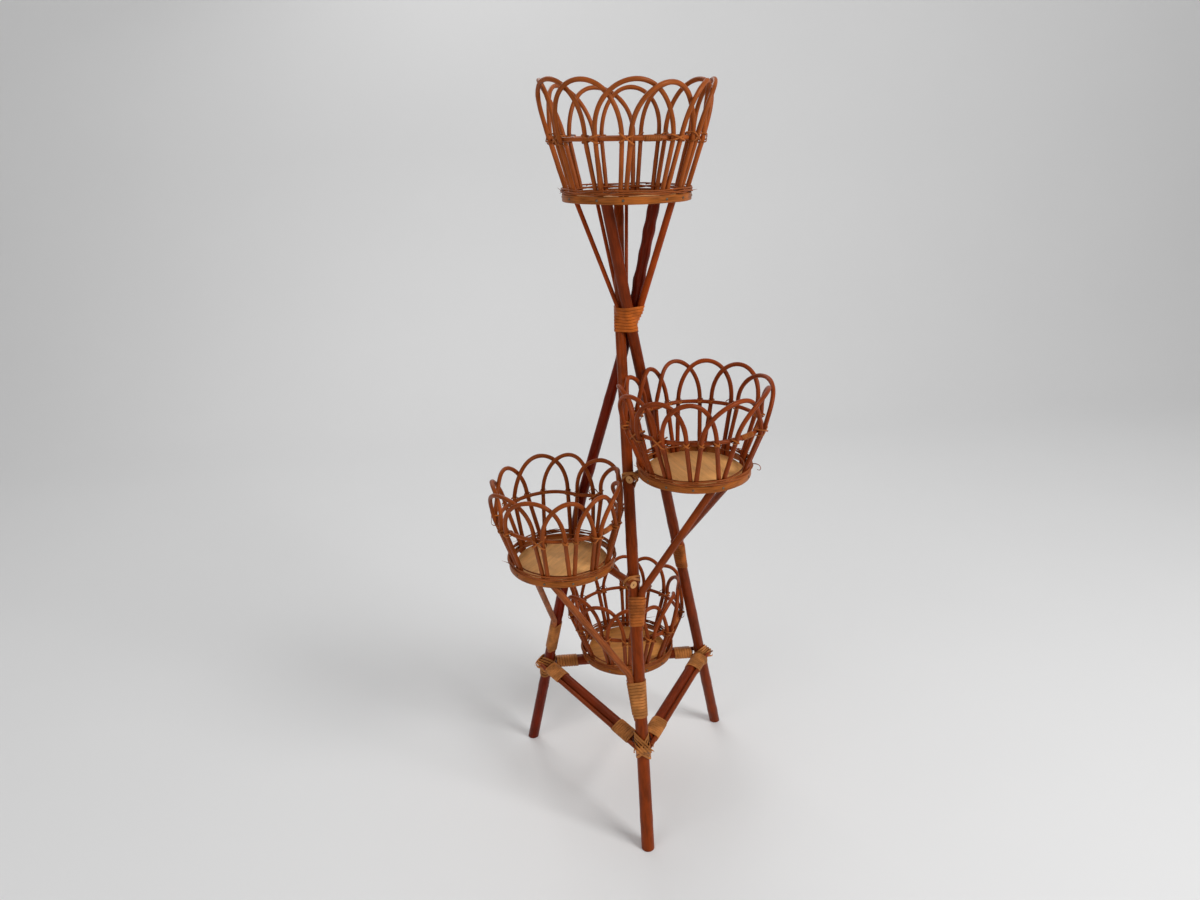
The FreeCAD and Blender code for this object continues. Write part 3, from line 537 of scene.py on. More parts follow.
class LayingTree(Tree):
    """A tree that makes geometry: named inputs at its start, real and painted faces at its end."""

    def __init__(self, name, sizes):
        super().__init__(bpy.data.node_groups.new(name, "GeometryNodeTree"))
        wants = [("Geometry", "Geometry")] + sizes + [("Material", "Material")]
        for want, kind in wants:
            self.group.interface.new_socket(want, in_out="INPUT", socket_type="NodeSocket" + kind)
        self.group.interface.new_socket("Geometry", in_out="OUTPUT",
                                        socket_type="NodeSocketGeometry")
        start = self.group.nodes.new("NodeGroupInput")
        self.given = {want: Wire(self, start.outputs[want]) for want, kind in wants}

    def curve(self):
        return self.node("GeometryNodeMeshToCurve", {0: self.given["Geometry"]})

    def stored(self, geometry, name, value):
        return self.node("GeometryNodeStoreNamedAttribute", {
            "Geometry": geometry, "Name": name, "Value": value}, data_type="FLOAT_VECTOR")

    def named(self, name, kind="FLOAT_VECTOR"):
        return self.node("GeometryNodeInputNamedAttribute", {"Name": name}, data_type=kind)

    def end(self, geometry):
        smooth = self.node("GeometryNodeSetShadeSmooth", {"Geometry": geometry})
        real = self.node("GeometryNodeRealizeInstances", {0: smooth})
        self.node("NodeGroupOutput", {0: self.node("GeometryNodeSetMaterial", {
            "Geometry": real, "Material": self.given["Material"]})})
        return self.group


def rod_tree():
    """Round rods along lines; each point's attribute thick is its radius."""
    tree = LayingTree("round_rods", [("Sides", "Int")])
    circle = tree.node("GeometryNodeCurvePrimitiveCircle", {
        "Resolution": tree.given["Sides"], "Radius": 1.0})
    marked = tree.stored(circle, "ring", tree.node("GeometryNodeInputPosition"))
    return tree.end(tree.node("GeometryNodeCurveToMesh", {
        "Curve": tree.curve(), "Profile Curve": marked, "Scale": tree.named("thick", "FLOAT"),
        "Fill Caps": True}))


def strip_tree():
    """Flat strips along lines; each point's attribute out is the way the strip faces.

    The swept points are laid again by that way, because the sweep's own would let a strip twist.
    """
    tree = LayingTree("flat_strips", [("Width", "Float"), ("Thickness", "Float")])
    place = tree.node("GeometryNodeInputPosition")
    curve = tree.stored(tree.curve(), "centre", place)
    curve = tree.stored(curve, "way", tree.node("GeometryNodeInputTangent"))
    thickness = tree.given["Thickness"]
    section = tree.node("GeometryNodeCurvePrimitiveQuadrilateral", {
        "Width": thickness, "Height": tree.given["Width"]})
    soft = tree.node("GeometryNodeFilletCurve", {
        "Curve": section, "Count": 2, "Radius": thickness * 0.42}, mode="POLY")
    marked = tree.stored(soft, "section", place)
    marked = tree.stored(marked, "ring", tree.vector("SCALE", place, scale=400.0))
    swept = tree.node("GeometryNodeCurveToMesh", {
        "Curve": curve, "Profile Curve": marked, "Fill Caps": True})
    way = tree.named("way")
    sideways = tree.vector("NORMALIZE", tree.vector("CROSS_PRODUCT", way, tree.named("out")))
    face = tree.vector("CROSS_PRODUCT", sideways, way)
    deep, wide = [tree.node("ShaderNodeSeparateXYZ", {0: tree.named("section")}, output)
                  for output in (0, 1)]
    off = tree.vector("ADD", tree.vector("SCALE", face, scale=deep),
                      tree.vector("SCALE", sideways, scale=wide))
    off = tree.vector("SCALE", off, scale=tree.named("thick", "FLOAT"))
    return tree.end(tree.node("GeometryNodeSetPosition", {
        "Geometry": swept, "Position": tree.vector("ADD", tree.named("centre"), off)}))


def nail_tree():
    """A low domed head on every point, square to the point's attribute out."""
    tree = LayingTree("nail_heads", [("Radius", "Float")])
    ball = tree.node("GeometryNodeMeshUVSphere", {
        "Segments": 12, "Rings": 8, "Radius": tree.given["Radius"]})
    low = tree.node("GeometryNodeTransform", {"Geometry": ball, "Scale": (1.0, 1.0, 0.5)})
    turn = tree.node("FunctionNodeAlignRotationToVector", {"Vector": tree.named("out")}, axis="Z")
    return tree.end(tree.node("GeometryNodeInstanceOnPoints", {
        "Points": tree.given["Geometry"], "Instance": low, "Rotation": turn}))


ROD_TREE = rod_tree()
STRIP_TREE = strip_tree()
NAIL_TREE = nail_tree()


# Pieces

TONE_STEP = 0.618034
WELD = 1e-6


def linked(name, data):
    made = bpy.data.objects.new(name, data)
    bpy.context.scene.collection.objects.link(made)
    return made


def line(points, thick=1.0, out=None, closed=False):
    """One line to lay a section along, in millimetres. thick is one size or one for each point."""
    sizes = thick if isinstance(thick, list) else [thick] * len(points)
    return {"points": points, "thick": sizes, "out": out or [UP] * len(points), "closed": closed}


def guide(name, lines):
    """A mesh of bare lines with what the trees and the materials read on its points."""
    verts, edges, thick, out, along, tone = [], [], [], [], [], []
    for number, one in enumerate(lines):
        first = len(verts)
        run = 0.0
        for k, p in enumerate(one["points"]):
            if k:
                run += (p - one["points"][k - 1]).length * MM
                edges.append((first + k - 1, first + k))
            verts.append((p + SHIFT) * MM)
            along.append(run)
            tone.append(number * TONE_STEP % 1)
        thick += one["thick"]
        out += one["out"]
        if one["closed"]:
            edges.append((len(verts) - 1, first))
    mesh = bpy.data.meshes.new(name + "_line")
    mesh.from_pydata(verts, edges, [])
    for key, values in (("thick", thick), ("along", along), ("tone", tone)):
        mesh.attributes.new(key, "FLOAT", "POINT").data.foreach_set("value", values)
    flat = [c for way in out for c in way]
    mesh.attributes.new("out", "FLOAT_VECTOR", "POINT").data.foreach_set("vector", flat)
    return mesh


def grown(name, lines, tree, settings):
    """The lines' mesh after the tree has worked on it, as a plain mesh."""
    held = linked(name + "_guide", guide(name, lines))
    modifier = held.modifiers.new("laid", "NODES")
    modifier.node_group = tree
    for socket in tree.interface.items_tree:
        if socket.in_out == "INPUT" and socket.name in settings:
            modifier[socket.identifier] = settings[socket.name]
    depsgraph = bpy.context.evaluated_depsgraph_get()
    mesh = bpy.data.meshes.new_from_object(held.evaluated_get(depsgraph))
    bpy.data.objects.remove(held)
    return mesh


def piece(name, mesh, node):
    """Turns a mesh's faces outwards and puts it on the stand in place of a CAD node."""
    work = bmesh.new()
    work.from_mesh(mesh)
    bmesh.ops.remove_doubles(work, verts=work.verts, dist=WELD)
    bmesh.ops.recalc_face_normals(work, faces=work.faces)
    work.to_mesh(mesh)
    work.free()
    mesh.set_sharp_from_angle(angle=radians(50))
    made = linked(name, mesh)
    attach(made, "root")
    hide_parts(node)


def rods(name, lines, material, node, sides=14):
    mesh = grown(name, lines, ROD_TREE, {"Sides": sides, "Material": material})
    piece(name, mesh, node)


def strips(name, lines, width, node, material=cane_strip, thickness=STRIP_THICKNESS):
    mesh = grown(name, lines, STRIP_TREE,
                 {"Width": width * MM, "Thickness": thickness * MM, "Material": material})
    piece(name, mesh, node)


def sawn(mesh, point, way):
    """Cuts off what lies beyond a plane and closes the cut."""
    work = bmesh.new()
    work.from_mesh(mesh)
    everything = work.verts[:] + work.edges[:] + work.faces[:]
    cut = bmesh.ops.bisect_plane(work, geom=everything, plane_co=(point + SHIFT) * MM,
                                 plane_no=way, clear_outer=True)
    rim = [e for e in cut["geom_cut"] if isinstance(e, bmesh.types.BMEdge)]
    bmesh.ops.contextual_create(work, geom=rim)
    work.to_mesh(mesh)
    work.free()
    return mesh


# Windings

TAPER_TIP, TAPER_RUN = 0.35, 5


def wrap(origin, axis, side, big, small, spacing_at, start, pitch, turns, slope=0, other_slope=0):
    """The line of a strip wound round a rod on axis and a second rod on the side given."""
    cross = axis.cross(side)
    points, outs = [], []
    for k in range(turns * WRAP_STEPS + 1):
        spacing = spacing_at(k / (turns * WRAP_STEPS))
        advance = start + pitch * k / WRAP_STEPS
        sideways = -advance / (slope - other_slope) if slope else 0
        apart = hypot(spacing, sideways)
        turned_by = atan2(sideways, spacing)
        contact = acos((big - small) / apart)
        straight = apart * sin(contact)
        arcs = [small * contact, straight, 2 * big * (pi - contact), straight, small * contact]
        run = (k / WRAP_STEPS % 1) * sum(arcs)
        stretch = 0
        while stretch < 4 and run > arcs[stretch]:
            run -= arcs[stretch]
            stretch += 1
        facing = [run / small, contact, contact + run / big, -contact, run / small - contact]
        angle = turned_by + facing[stretch]
        share = [1, 1 - run / straight, 0, run / straight, 1][stretch]
        radius = big + (small - big) * share
        u = radius * cos(angle) + spacing * share
        v = radius * sin(angle) + sideways * share
        points.append(origin + side * u + cross * v + axis * (advance + slope * v))
        outs.append((side * cos(angle) + cross * sin(angle)).normalized())
    return points, outs


def tapered(points, outs):
    """A line whose ends thin out, as a strip's tucked-in ends do."""
    last = len(points) - 1
    ends = [min(1, k / TAPER_RUN, (last - k) / TAPER_RUN) for k in range(last + 1)]
    return line(points, [TAPER_TIP + (1 - TAPER_TIP) * end for end in ends], outs)


def lashing(name, origin, axis, side, rod, other, spacing_at, turns, pitch, material=cane_strip):
    points, outs = wrap(origin, axis, side, rod + LAID, other + LAID, spacing_at,
                        -turns * pitch / 2, pitch, turns)
    strips(name + "_strip", [tapered(points, outs)], min(STRIP_WIDTH, pitch * STRIP_SHARE), name,
           material)


# Rods, knots and poles

KNOT_SHAPE = ((-2, 0.3), (-1, 0.8), (0, 1.0), (1, 0.8), (2, 0.3))
LEFT_KNOTS = ((0.835, 0.10), (0.875, 0.16), (0.912, 0.12), (0.945, 0.18), (0.975, 0.12))
KNOT_WIDTH = 2.2
LEGS = {"front": "leg_front", "right": "leg_rear_right", "left": "leg_rear_left"}


def knotted(count, radii, seed, height=0.35, spacing=34):
    """Radii along a rod with low swellings where side shoots were cut off."""
    chance = random.Random(seed)
    sizes = [radii[0] + (radii[1] - radii[0]) * k / (count - 1) for k in range(count)]
    k = chance.randint(6, spacing)
    while k < count - 2:
        for offset, share in KNOT_SHAPE:
            if 0 <= k + offset < count:
                sizes[k + offset] += height * share
        k += chance.randint(spacing // 2, spacing + spacing // 2)
    return [s * MM for s in sizes]


for pole_name, node in LEGS.items():
    p = POLES[pole_name]
    points = list(p["points"])
    points[0] = points[0] - (points[1] - points[0]).normalized() * p["foot"]
    points[-1] = points[-1] + (points[-1] - points[-2]).normalized() * p["foot"]
    path = even(rounded(points, POLE_BEND_RADIUS), POLE_STEP)
    sizes = knotted(len(path), (p["foot"], p["top"]), node)
    if pole_name == "left":
        for share, swell in LEFT_KNOTS:
            for k in range(len(path)):
                away = (k - share * len(path)) / KNOT_WIDTH
                sizes[k] *= 1 + swell * exp(-away ** 2)
    mesh = grown(node, [line(path, sizes)], ROD_TREE,
                 {"Sides": 24, "Material": pole_woods[pole_name]})
    mesh = sawn(mesh, Vector((0, 0, 0)), -UP)
    top = BASKETS["top"]
    mesh = sawn(mesh, top.matrix @ (UP * -SEAT_GAP), (top.matrix.to_3x3() @ UP).normalized())
    piece(node + "_pole", mesh, node)


# Baskets' stakes, ring and hoop

def arch_rods(name, basket, chance):
    arches = []
    for index in range(len(basket.pairs)):
        path = basket.arch(index)
        base = STAKE_RADIUS * chance.uniform(0.93, 1.0)
        sizes = knotted(len(path), (base, base * 0.95), name + str(index), 0.22, 30)
        arches.append(line(path, sizes))
    rods(name + "_arch_rods", arches, stake_woods[name], name + "_arches")


RING_BUTT_ANGLE = 1
WINDING_TURNS = 8
WINDING_PITCH = 2.6
WINDING_STEPS = 20
WINDING_SPREAD = 1.15
RING_STRIP = 0.8


def ring_rod(name, basket):
    """The ring, butted under its winding."""
    open_turn = 360 - 2 * RING_BUTT_ANGLE
    path = [basket.ring_centre(basket.winding_angle + RING_BUTT_ANGLE + open_turn * k / RING_STEPS)
            for k in range(RING_STEPS + 1)]
    sizes = knotted(len(path), (RING_RADIUS, RING_RADIUS), name, 0.3, 24)
    rods(name + "_ring_rod", [line(basket.put(path), sizes)], stake_woods[name],
         name + "_ring")


def ring_strip(name, basket, chance):
    """The winding over the ring's ends and the ties that hold the stakes to it."""
    winding, outs = [], []
    span = degrees(WINDING_PITCH * WINDING_TURNS / basket.wall_at_ring)
    steps = WINDING_TURNS * WINDING_STEPS
    for k in range(steps + 1):
        t = k / steps
        angle = basket.winding_angle + span * (t - 0.5) * WINDING_SPREAD
        a = 2 * pi * WINDING_TURNS * t
        out = turned(1, angle, 0) * cos(a) + UP * sin(a)
        winding.append(basket.ring_centre(angle) + out * (RING_RADIUS + LAID))
        outs.append(out)
    wound = [tapered(basket.put(winding), basket.put_way(outs))]
    for index in range(len(basket.pairs)):
        wound += ring_tie(basket, index, chance)
    strips(name + "_ring_strip", wound, WINDING_PITCH * 1.05, name + "_ring_winding",
           middle_cane, RING_STRIP)


WIDE_PAIR = 7
LOOP_SLANT = (16, 40)
HALF_LOOP = 20
LOOP_SHARE = 0.75


def ring_tie(basket, index, chance):
    """Cane that ties a pair of stakes to the ring, or each stake where they stand apart."""
    low, high = basket.low[index], basket.high[index]
    half = basket.wall_at_ring * radians(high - low) / 2
    if half > WIDE_PAIR:
        return crossed_loops(basket, low, 0.0, chance) + crossed_loops(basket, high, 0.0, chance)
    return crossed_loops(basket, (low + high) / 2, half, chance)


def crossed_loops(basket, angle, half, chance):
    """Two slanting loops, drawn tight round stakes and ring, the second over the first."""
    stakes = basket.wall(basket.wall_at_ring, angle, basket.ring_height)
    centre = (stakes + basket.ring_centre(angle)) / 2
    out = turned(1, angle, 0)
    beside = UP.cross(out)
    deep = basket.ring_spacing / 2
    discs = [(-half, deep, STAKE_RADIUS), (half, deep, STAKE_RADIUS),
             (-half, -deep, RING_RADIUS), (half, -deep, RING_RADIUS)]
    loops = []
    for slant, grow in ((chance.uniform(*LOOP_SLANT), 0.1), (-chance.uniform(*LOOP_SLANT), 0.75)):
        a = radians(slant)
        diagonal = beside * cos(a) + UP * sin(a)
        points, outs = [], []
        for k in range(2 * HALF_LOOP):
            c = cos(pi * k / HALF_LOOP)
            s = sin(pi * k / HALF_LOOP)
            u, v, radius = max(discs, key=lambda disc: disc[0] * c + disc[1] * s + disc[2])
            off = radius + LAID + grow
            points.append(centre + diagonal * (u / cos(a) + c * off) + out * (v + s * off))
            outs.append((diagonal * c + out * s).normalized())
        loops.append(line(basket.put(points), LOOP_SHARE, basket.put_way(outs), True))
    return loops


def hoop_band(name, basket):
    """The hoop as one flat strip set on edge, with a slight wave in its height."""
    path, outs = [], []
    for k in range(RING_STEPS):
        angle = basket.winding_angle + 40 + 360 * k / RING_STEPS
        wave = 0.25 * sin(radians(angle * 5 + 30)) + 0.15 * sin(radians(angle * 11))
        path.append(turned(basket.hoop - HOOP_THICKNESS / 2, angle, HOOP_HEIGHT / 2 + wave * 0.6))
        outs.append(turned(1, angle, 0))
    band = line(basket.put(path), 1.0, basket.put_way(outs), True)
    strips(name + "_hoop_band", [band], HOOP_HEIGHT, name + "_hoop", hoop_wood, HOOP_THICKNESS)


# Strands on the hoops: two twisted round each other, a loose one above and one inside. Each row:
# its turn's start, its height over the hoop, its swings up and out, whether it is inside.
STRANDS = ((0.0, 2.6, 1.3, 1.25, False), (pi, 2.6, 1.3, 1.25, False),
           (1.0, 6.3, 0.5, 0.0, False), (2.0, 3.0, 0.5, 0.0, True))
STRAND_STEPS = 12
STRAND_GAP = 0.25

# The right basket's stray end: its points, away from the wall and up, its angle and radii
CURL = ((0, 0), (4, 1.5), (8, 1.6), (11, 0.2), (12.5, -2.6), (12, -5.6), (9.5, -7), (7.5, -6))
CURL_ANGLE = -12
CURL_BASE = 3
CURL_RADIUS, CURL_THINNING = 0.75, 0.4

LOOSE_ENDS = 7
LOOSE_STEPS = 14
LOOSE_RADIUS = 0.7


def stake_reach(basket, height):
    """How far out the stakes stand at a height near the hoop."""
    rise = max(0, height - STAKE_BEND_HEIGHT) / (basket.ring_height - STAKE_BEND_HEIGHT)
    return basket.stakes + (basket.wall_at_ring - basket.stakes) * rise


def strand_line(basket, turn, lift, swing, bulge, inside):
    count = len(basket.pairs)
    path = []
    for index in range(count):
        start, end = around(basket.pairs, index), around(basket.pairs, index + 1)
        for k in range(STRAND_STEPS):
            half_turns = (index + k / STRAND_STEPS) * (count + count % 2) / count
            a = pi * half_turns + turn
            z = HOOP_HEIGHT + lift + swing * cos(a)
            touching = STAKE_RADIUS + STRAND_RADIUS + STRAND_GAP
            reach = stake_reach(basket, z)
            reach += -touching if inside else touching + bulge * (1 + sin(a))
            path.append(turned(reach, start + (end - start) * k / STRAND_STEPS, z))
    sizes = [STRAND_RADIUS * (0.9 + 0.1 * sin(k * 0.21 + turn)) * MM for k in range(len(path))]
    return line(basket.put(path), sizes, None, True)


def curl_line(basket):
    edge = stake_reach(basket, HOOP_HEIGHT + CURL_BASE) + STAKE_RADIUS + CURL_BASE
    path = [turned(edge + away, CURL_ANGLE - away * 0.4, HOOP_HEIGHT + CURL_BASE + rise)
            for away, rise in CURL]
    path = eased(even(path, 1.0))
    sizes = [(CURL_RADIUS - CURL_THINNING * k / len(path)) * MM for k in range(len(path))]
    return line(basket.put(path), sizes)


def loose_end(basket, angle, height, length, heading, lift):
    """A strand's end that leaves the wall, with its heading from the wall growing as it goes."""
    reach = stake_reach(basket, height) + STAKE_RADIUS + STRAND_RADIUS * 2 + 1.0
    place = turned(reach, angle, height)
    out = turned(1, angle, 0)
    beside = UP.cross(out) * (1 if sin(angle * 9) > 0 else -1)
    path = [place]
    for k in range(LOOSE_STEPS):
        a = radians(heading * (0.3 + k / 10))
        step = (beside * cos(a) + out * sin(a) + UP * lift).normalized()
        place = place + step * (length / LOOSE_STEPS)
        path.append(place)
    sizes = [LOOSE_RADIUS * (1 - 0.06 * k) * MM for k in range(len(path))]
    return line(basket.put(path), sizes)


def weave_strands(name, basket, chance):
    lines = [strand_line(basket, *strand) for strand in STRANDS]
    if name == "right":
        lines.append(curl_line(basket))
    for _ in range(LOOSE_ENDS):
        lines.append(loose_end(basket, chance.uniform(0, 360),
                               HOOP_HEIGHT + chance.uniform(1.5, 6.5), chance.uniform(14, 30),
                               chance.uniform(6, 26), chance.uniform(-0.15, 0.35)))
    rods(name + "_weave_strands", lines, strand_wood, name + "_weave", sides=8)


# Boards and nails

BOARD_SIDES = 72
BOARD_EDGE = ((0.0, -0.5), (0.4, 0.0), (BOARD_THICKNESS - 0.5, 0.0), (BOARD_THICKNESS, -0.6))


def board(name, basket, grain_angle):
    """A board with softened edges, a little out of round where it was sawn."""
    radii = []
    for k in range(BOARD_SIDES):
        a = 2 * pi * k / BOARD_SIDES
        radii.append(basket.board - 0.9 - 0.6 * sin(3 * a + grain_angle) - 0.4 * sin(7 * a))
    verts = [(basket.matrix @ turned(radius + inset, 360 * k / BOARD_SIDES, height) + SHIFT) * MM
             for height, inset in BOARD_EDGE for k, radius in enumerate(radii)]
    last = len(verts) - BOARD_SIDES
    faces = [(low + k, low + (k + 1) % BOARD_SIDES, low + BOARD_SIDES + (k + 1) % BOARD_SIDES,
              low + BOARD_SIDES + k)
             for low in range(0, last, BOARD_SIDES) for k in range(BOARD_SIDES)]
    faces += [range(BOARD_SIDES)[::-1], range(last, len(verts))]
    mesh = bpy.data.meshes.new(name + "_board_disc")
    mesh.from_pydata(verts, [], faces)
    mesh.materials.append(plywood(name + "_plywood", *BOARD_TONES[name], grain_angle))
    piece(name + "_board_disc", mesh, name + "_board")


nail_points, nail_outs = [], []
for number, (name, basket) in enumerate(BASKETS.items()):
    chance = random.Random(name)
    arch_rods(name, basket, chance)
    ring_rod(name, basket)
    ring_strip(name, basket, chance)
    hoop_band(name, basket)
    weave_strands(name, basket, chance)
    board(name, basket, 25 + 50 * number)
    for angle in basket.pairs:
        nail_points += basket.put([turned(basket.hoop + NAIL_PROUD, angle, HOOP_HEIGHT / 2)])
        nail_outs += basket.put_way([turned(1, angle, 0)])
nail_mesh = grown("nail_heads", [line(nail_points, 1.0, nail_outs)], NAIL_TREE,
                  {"Radius": NAIL_RADIUS * MM, "Material": nail_metal})
piece("nail_heads", nail_mesh, "hoop_nails")


# Lower frame

CORNERS = {name: pole_centre(p, FRAME_HEIGHT) for name, p in POLES.items()}
MIDDLE = sum(CORNERS.values(), Vector()) / 3
CANE_SPACING = STRETCHER_RADIUS + CANE_RADIUS + SEAT_GAP
CORNER_TIE_TURNS = 4
OVER_FIRST_TIE = STRIP_THICKNESS + 0.2


def tangent_line(first, second, first_reach, second_reach, outside):
    """A line that passes two points at these distances, on the side outside points to."""
    between = (second - first).normalized()
    sideways = UP.cross(between)
    if sideways.dot(outside) < 0:
        sideways = -sideways
    turn = (first_reach - second_reach) / (second - first).length
    outward = sideways * sqrt(1 - turn * turn) + between * turn
    start = first + outward * first_reach
    end = second + outward * second_reach
    return start, end, outward, (end - start).normalized()


def corner_reach(name):
    lean = pole_way(POLES[name], FRAME_HEIGHT).z
    return (pole_radius(POLES[name], FRAME_HEIGHT) + CANE_RADIUS + CORNER_GAP) / lean


def frame_side(first, second):
    outside = (CORNERS[first] + CORNERS[second]) / 2 - MIDDLE
    return tangent_line(CORNERS[first], CORNERS[second], corner_reach(first),
                        corner_reach(second), outside)


SIDES = {"right": frame_side("front", "right"), "rear": frame_side("right", "left"),
         "left": frame_side("left", "front")}

# Each row: the side, whether it is at the side's end, the run to the first turn, turns, pitch
STRETCHER_LASHINGS = {
    "lashing_right_front": ("right", False, 15.5, 9, 4.4),
    "lashing_right_rear": ("right", True, 15.5, 9, 4.4),
    "lashing_rear_right": ("rear", False, 15.0, 7, 4.2),
    "lashing_rear_left": ("rear", True, 15.5, 8, 4.4),
    "lashing_left_rear": ("left", False, 15.5, 9, 4.4),
    "lashing_left_front": ("left", True, 15.5, 9, 4.4),
}


def paint(node, shades, **looks):
    """A CAD node keeps its shape and gets its finish."""
    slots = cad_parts[node].data.materials
    slots.clear()
    slots.append(willow(node + "_wood", *shades, **looks))


for side, (start, end, outward, way) in SIDES.items():
    paint("stretcher_" + side, STRETCHER_TONES, axis=tuple(way))
paint("corner_cane", CORNER_TONES, axis=(0.0, 0.0, 1.0), stretch=1.0)

for name, (side, at_end, start_run, turns, pitch) in STRETCHER_LASHINGS.items():
    start, end, outward, way = SIDES[side]
    if at_end:
        start, way = end, -way
    origin = start - outward * CANE_SPACING + way * (start_run + turns * pitch / 2)
    lashing(name, origin, way, outward, STRETCHER_RADIUS, CANE_RADIUS,
            lambda t: CANE_SPACING, turns, pitch)


def crossing(point, way, side, other_point, other_way):
    """The point of one line that is nearest to another, seen from the side."""
    apart = across(other_point - point, side)
    slant = way.dot(other_way)
    return point + way * ((apart.dot(way) - slant * apart.dot(other_way)) / (1 - slant * slant))


def tie_line(origin, axis, side, rod, other, spacing, slope, other_slope, rise, turns, grow):
    pitch = (TIE_STRIP_WIDTH + TIE_TURN_GAP) * sqrt(1 + slope * slope)
    return tapered(*wrap(origin, axis, side, rod + LAID + grow, other + LAID + grow,
                         lambda t: spacing, rise - turns * pitch / 2, pitch, turns,
                         slope, other_slope))


for name, p in POLES.items():
    centre = CORNERS[name]
    axis = pole_way(p, FRAME_HEIGHT)
    side = across(centre - MIDDLE, axis).normalized()
    radius = pole_radius(p, FRAME_HEIGHT)
    spacing = radius + CORNER_GAP + CANE_RADIUS
    cane_point = centre + (centre - MIDDLE).normalized() * corner_reach(name)
    origin = crossing(centre, axis, side, cane_point, axis.cross(side))
    ties = [tie_line(origin, axis, side, radius, CANE_RADIUS, spacing, slope, 0, 0,
                     CORNER_TIE_TURNS, grow) for slope, grow in ((1.0, 0), (-1.0, OVER_FIRST_TIE))]
    strips("corner_tie_" + name + "_strip", ties, TIE_STRIP_WIDTH, "corner_tie_" + name)


# Arms under the side baskets. Each row: height, tones, the tie's slope and rise.
ARMS = {"left": (401.2, tones(136, 64, 28), 1.0, -6.5),
        "right": (547.0, tones(128, 56, 22), 0.9, -8.5)}
ARM_TIE_TURNS = 2

for side_name, (height, arm_tones, tie_slope, tie_rise) in ARMS.items():
    front = pole_centre(POLES["front"], height)
    rear = pole_centre(POLES[side_name], height)
    toward = (rear - front).normalized()
    reaches = []
    for name in ("front", side_name):
        need = pole_radius(POLES[name], height) + ARM_RADIUS + SEAT_GAP
        square = pole_way(POLES[name], height).cross(toward).normalized()
        reaches.append(need / abs(square.dot(UP.cross(toward))))
    start, end, outward, way = tangent_line(front, rear, *reaches, BASKETS[side_name].base)
    paint(side_name + "_arm", arm_tones, axis=tuple(way),
          cut_end=(start - way * ARM_OVERHANG, way))
    axis = pole_way(POLES["front"], height)
    side = axis.cross(way).normalized()
    if side.dot(outward) < 0:
        side = -side
    arm_slope = way.dot(axis) / way.dot(axis.cross(side))
    radius = pole_radius(POLES["front"], height)
    tie = tie_line(crossing(front, axis, side, start, way), axis, side, radius, ARM_RADIUS,
                   radius + ARM_RADIUS + SEAT_GAP, -copysign(tie_slope, arm_slope),
                   arm_slope, tie_rise, ARM_TIE_TURNS, 0)
    strips(side_name + "_arm_strip", [tie], TIE_STRIP_WIDTH * ARM_TIE_SHARE,
           side_name + "_arm_tie")


# Braces under the side baskets. Each row: pole, basket, diameter, the foot's height, the lap on
# the pole, the tip's reach and angle, tones.
BRACES = {
    "left_long_brace": ("front", "left", 10.0, 193.0, 68.0, 72.0, -103.0,
                        tones(150, 80, 42, 0.28)),
    "left_short_brace": ("left", "left", 9.0, 186.0, 65.0, 69.0, -124.0,
                         tones(158, 92, 54, 0.28)),
    "right_long_brace": ("front", "right", 10.4, 325.0, 57.0, 69.0, -80.0, tones(132, 56, 18)),
    "right_short_brace": ("right", "right", 9.4, 335.0, 64.0, 69.0, -64.0, tones(128, 52, 16)),
}

for name, (pole_name, basket_name, diameter, foot, lap, reach, angle, shades) in BRACES.items():
    p = POLES[pole_name]
    radius = diameter / 2
    tip = BASKETS[basket_name].matrix @ turned(reach, angle, 0)
    axis = pole_way(p, foot + lap)
    bend = pole_centre(p, foot + lap)
    side = across(tip - bend, axis).normalized()
    low_spacing = pole_radius(p, foot) - radius + BRACE_SLIVER
    high_spacing = pole_radius(p, foot + lap) + radius + SEAT_GAP
    way = (tip - (bend + side * high_spacing)).normalized()
    paint(name, shades, axis=tuple(way), roughness=0.48)
    middle = foot + (lap - LASHING_CANE) / 2
    length = int((lap - 3 * LASHING_CANE) / BRACE_PITCH) * BRACE_PITCH
    turns = round(length / LASHING_PITCH)
    first_share = 0.5 - length / lap / 2
    lashing(name + "_lashing", pole_centre(p, middle), axis, side, pole_radius(p, middle), radius,
            lambda t: low_spacing + (high_spacing - low_spacing) * (first_share + t * length / lap),
            turns, length / turns, middle_cane if basket_name == "right" else cane_strip)


# Crown

# A strut fades out of the bundle's outline over the length STRUT_TAIL below its foot
STRUT_TAIL = 26.0
STRUT_SLANT = 1.03
CROWN_LOOSE = 0.1


def waist_middle(height):
    return sum((pole_centre(p, height) for p in POLES.values()), Vector()) / 3


def strut_line(diameter, foot_angle, top_angle):
    """A strut's foot, pushed out until it clears the poles, its top and its radius."""
    middle = waist_middle(STRUT_FOOT)
    way = turned(1, foot_angle, 0)
    reach = 0
    for p in POLES.values():
        need = pole_radius(p, STRUT_FOOT) + diameter / 2 + 2 * SEAT_GAP
        offset = pole_centre(p, STRUT_FOOT) - middle
        aside = across(offset, way).length
        if aside < need:
            reach = max(reach, offset.dot(way) + sqrt(need * need - aside * aside))
    top = BASKETS["top"].matrix @ turned(STRUT_REACH, top_angle, 0)
    return middle + way * reach, top, diameter / 2


STRUTS = {"crown_strut_left": strut_line(6.2, -150, -167),
          "crown_strut_rear_left": strut_line(5.4, 116, 120),
          "crown_strut_rear": strut_line(5.0, 89, 83),
          "crown_strut_right": strut_line(9.2, -17, -40)}
for name, (foot, top, radius) in STRUTS.items():
    paint(name, STRUT_TONES, axis=tuple((top - foot).normalized()))


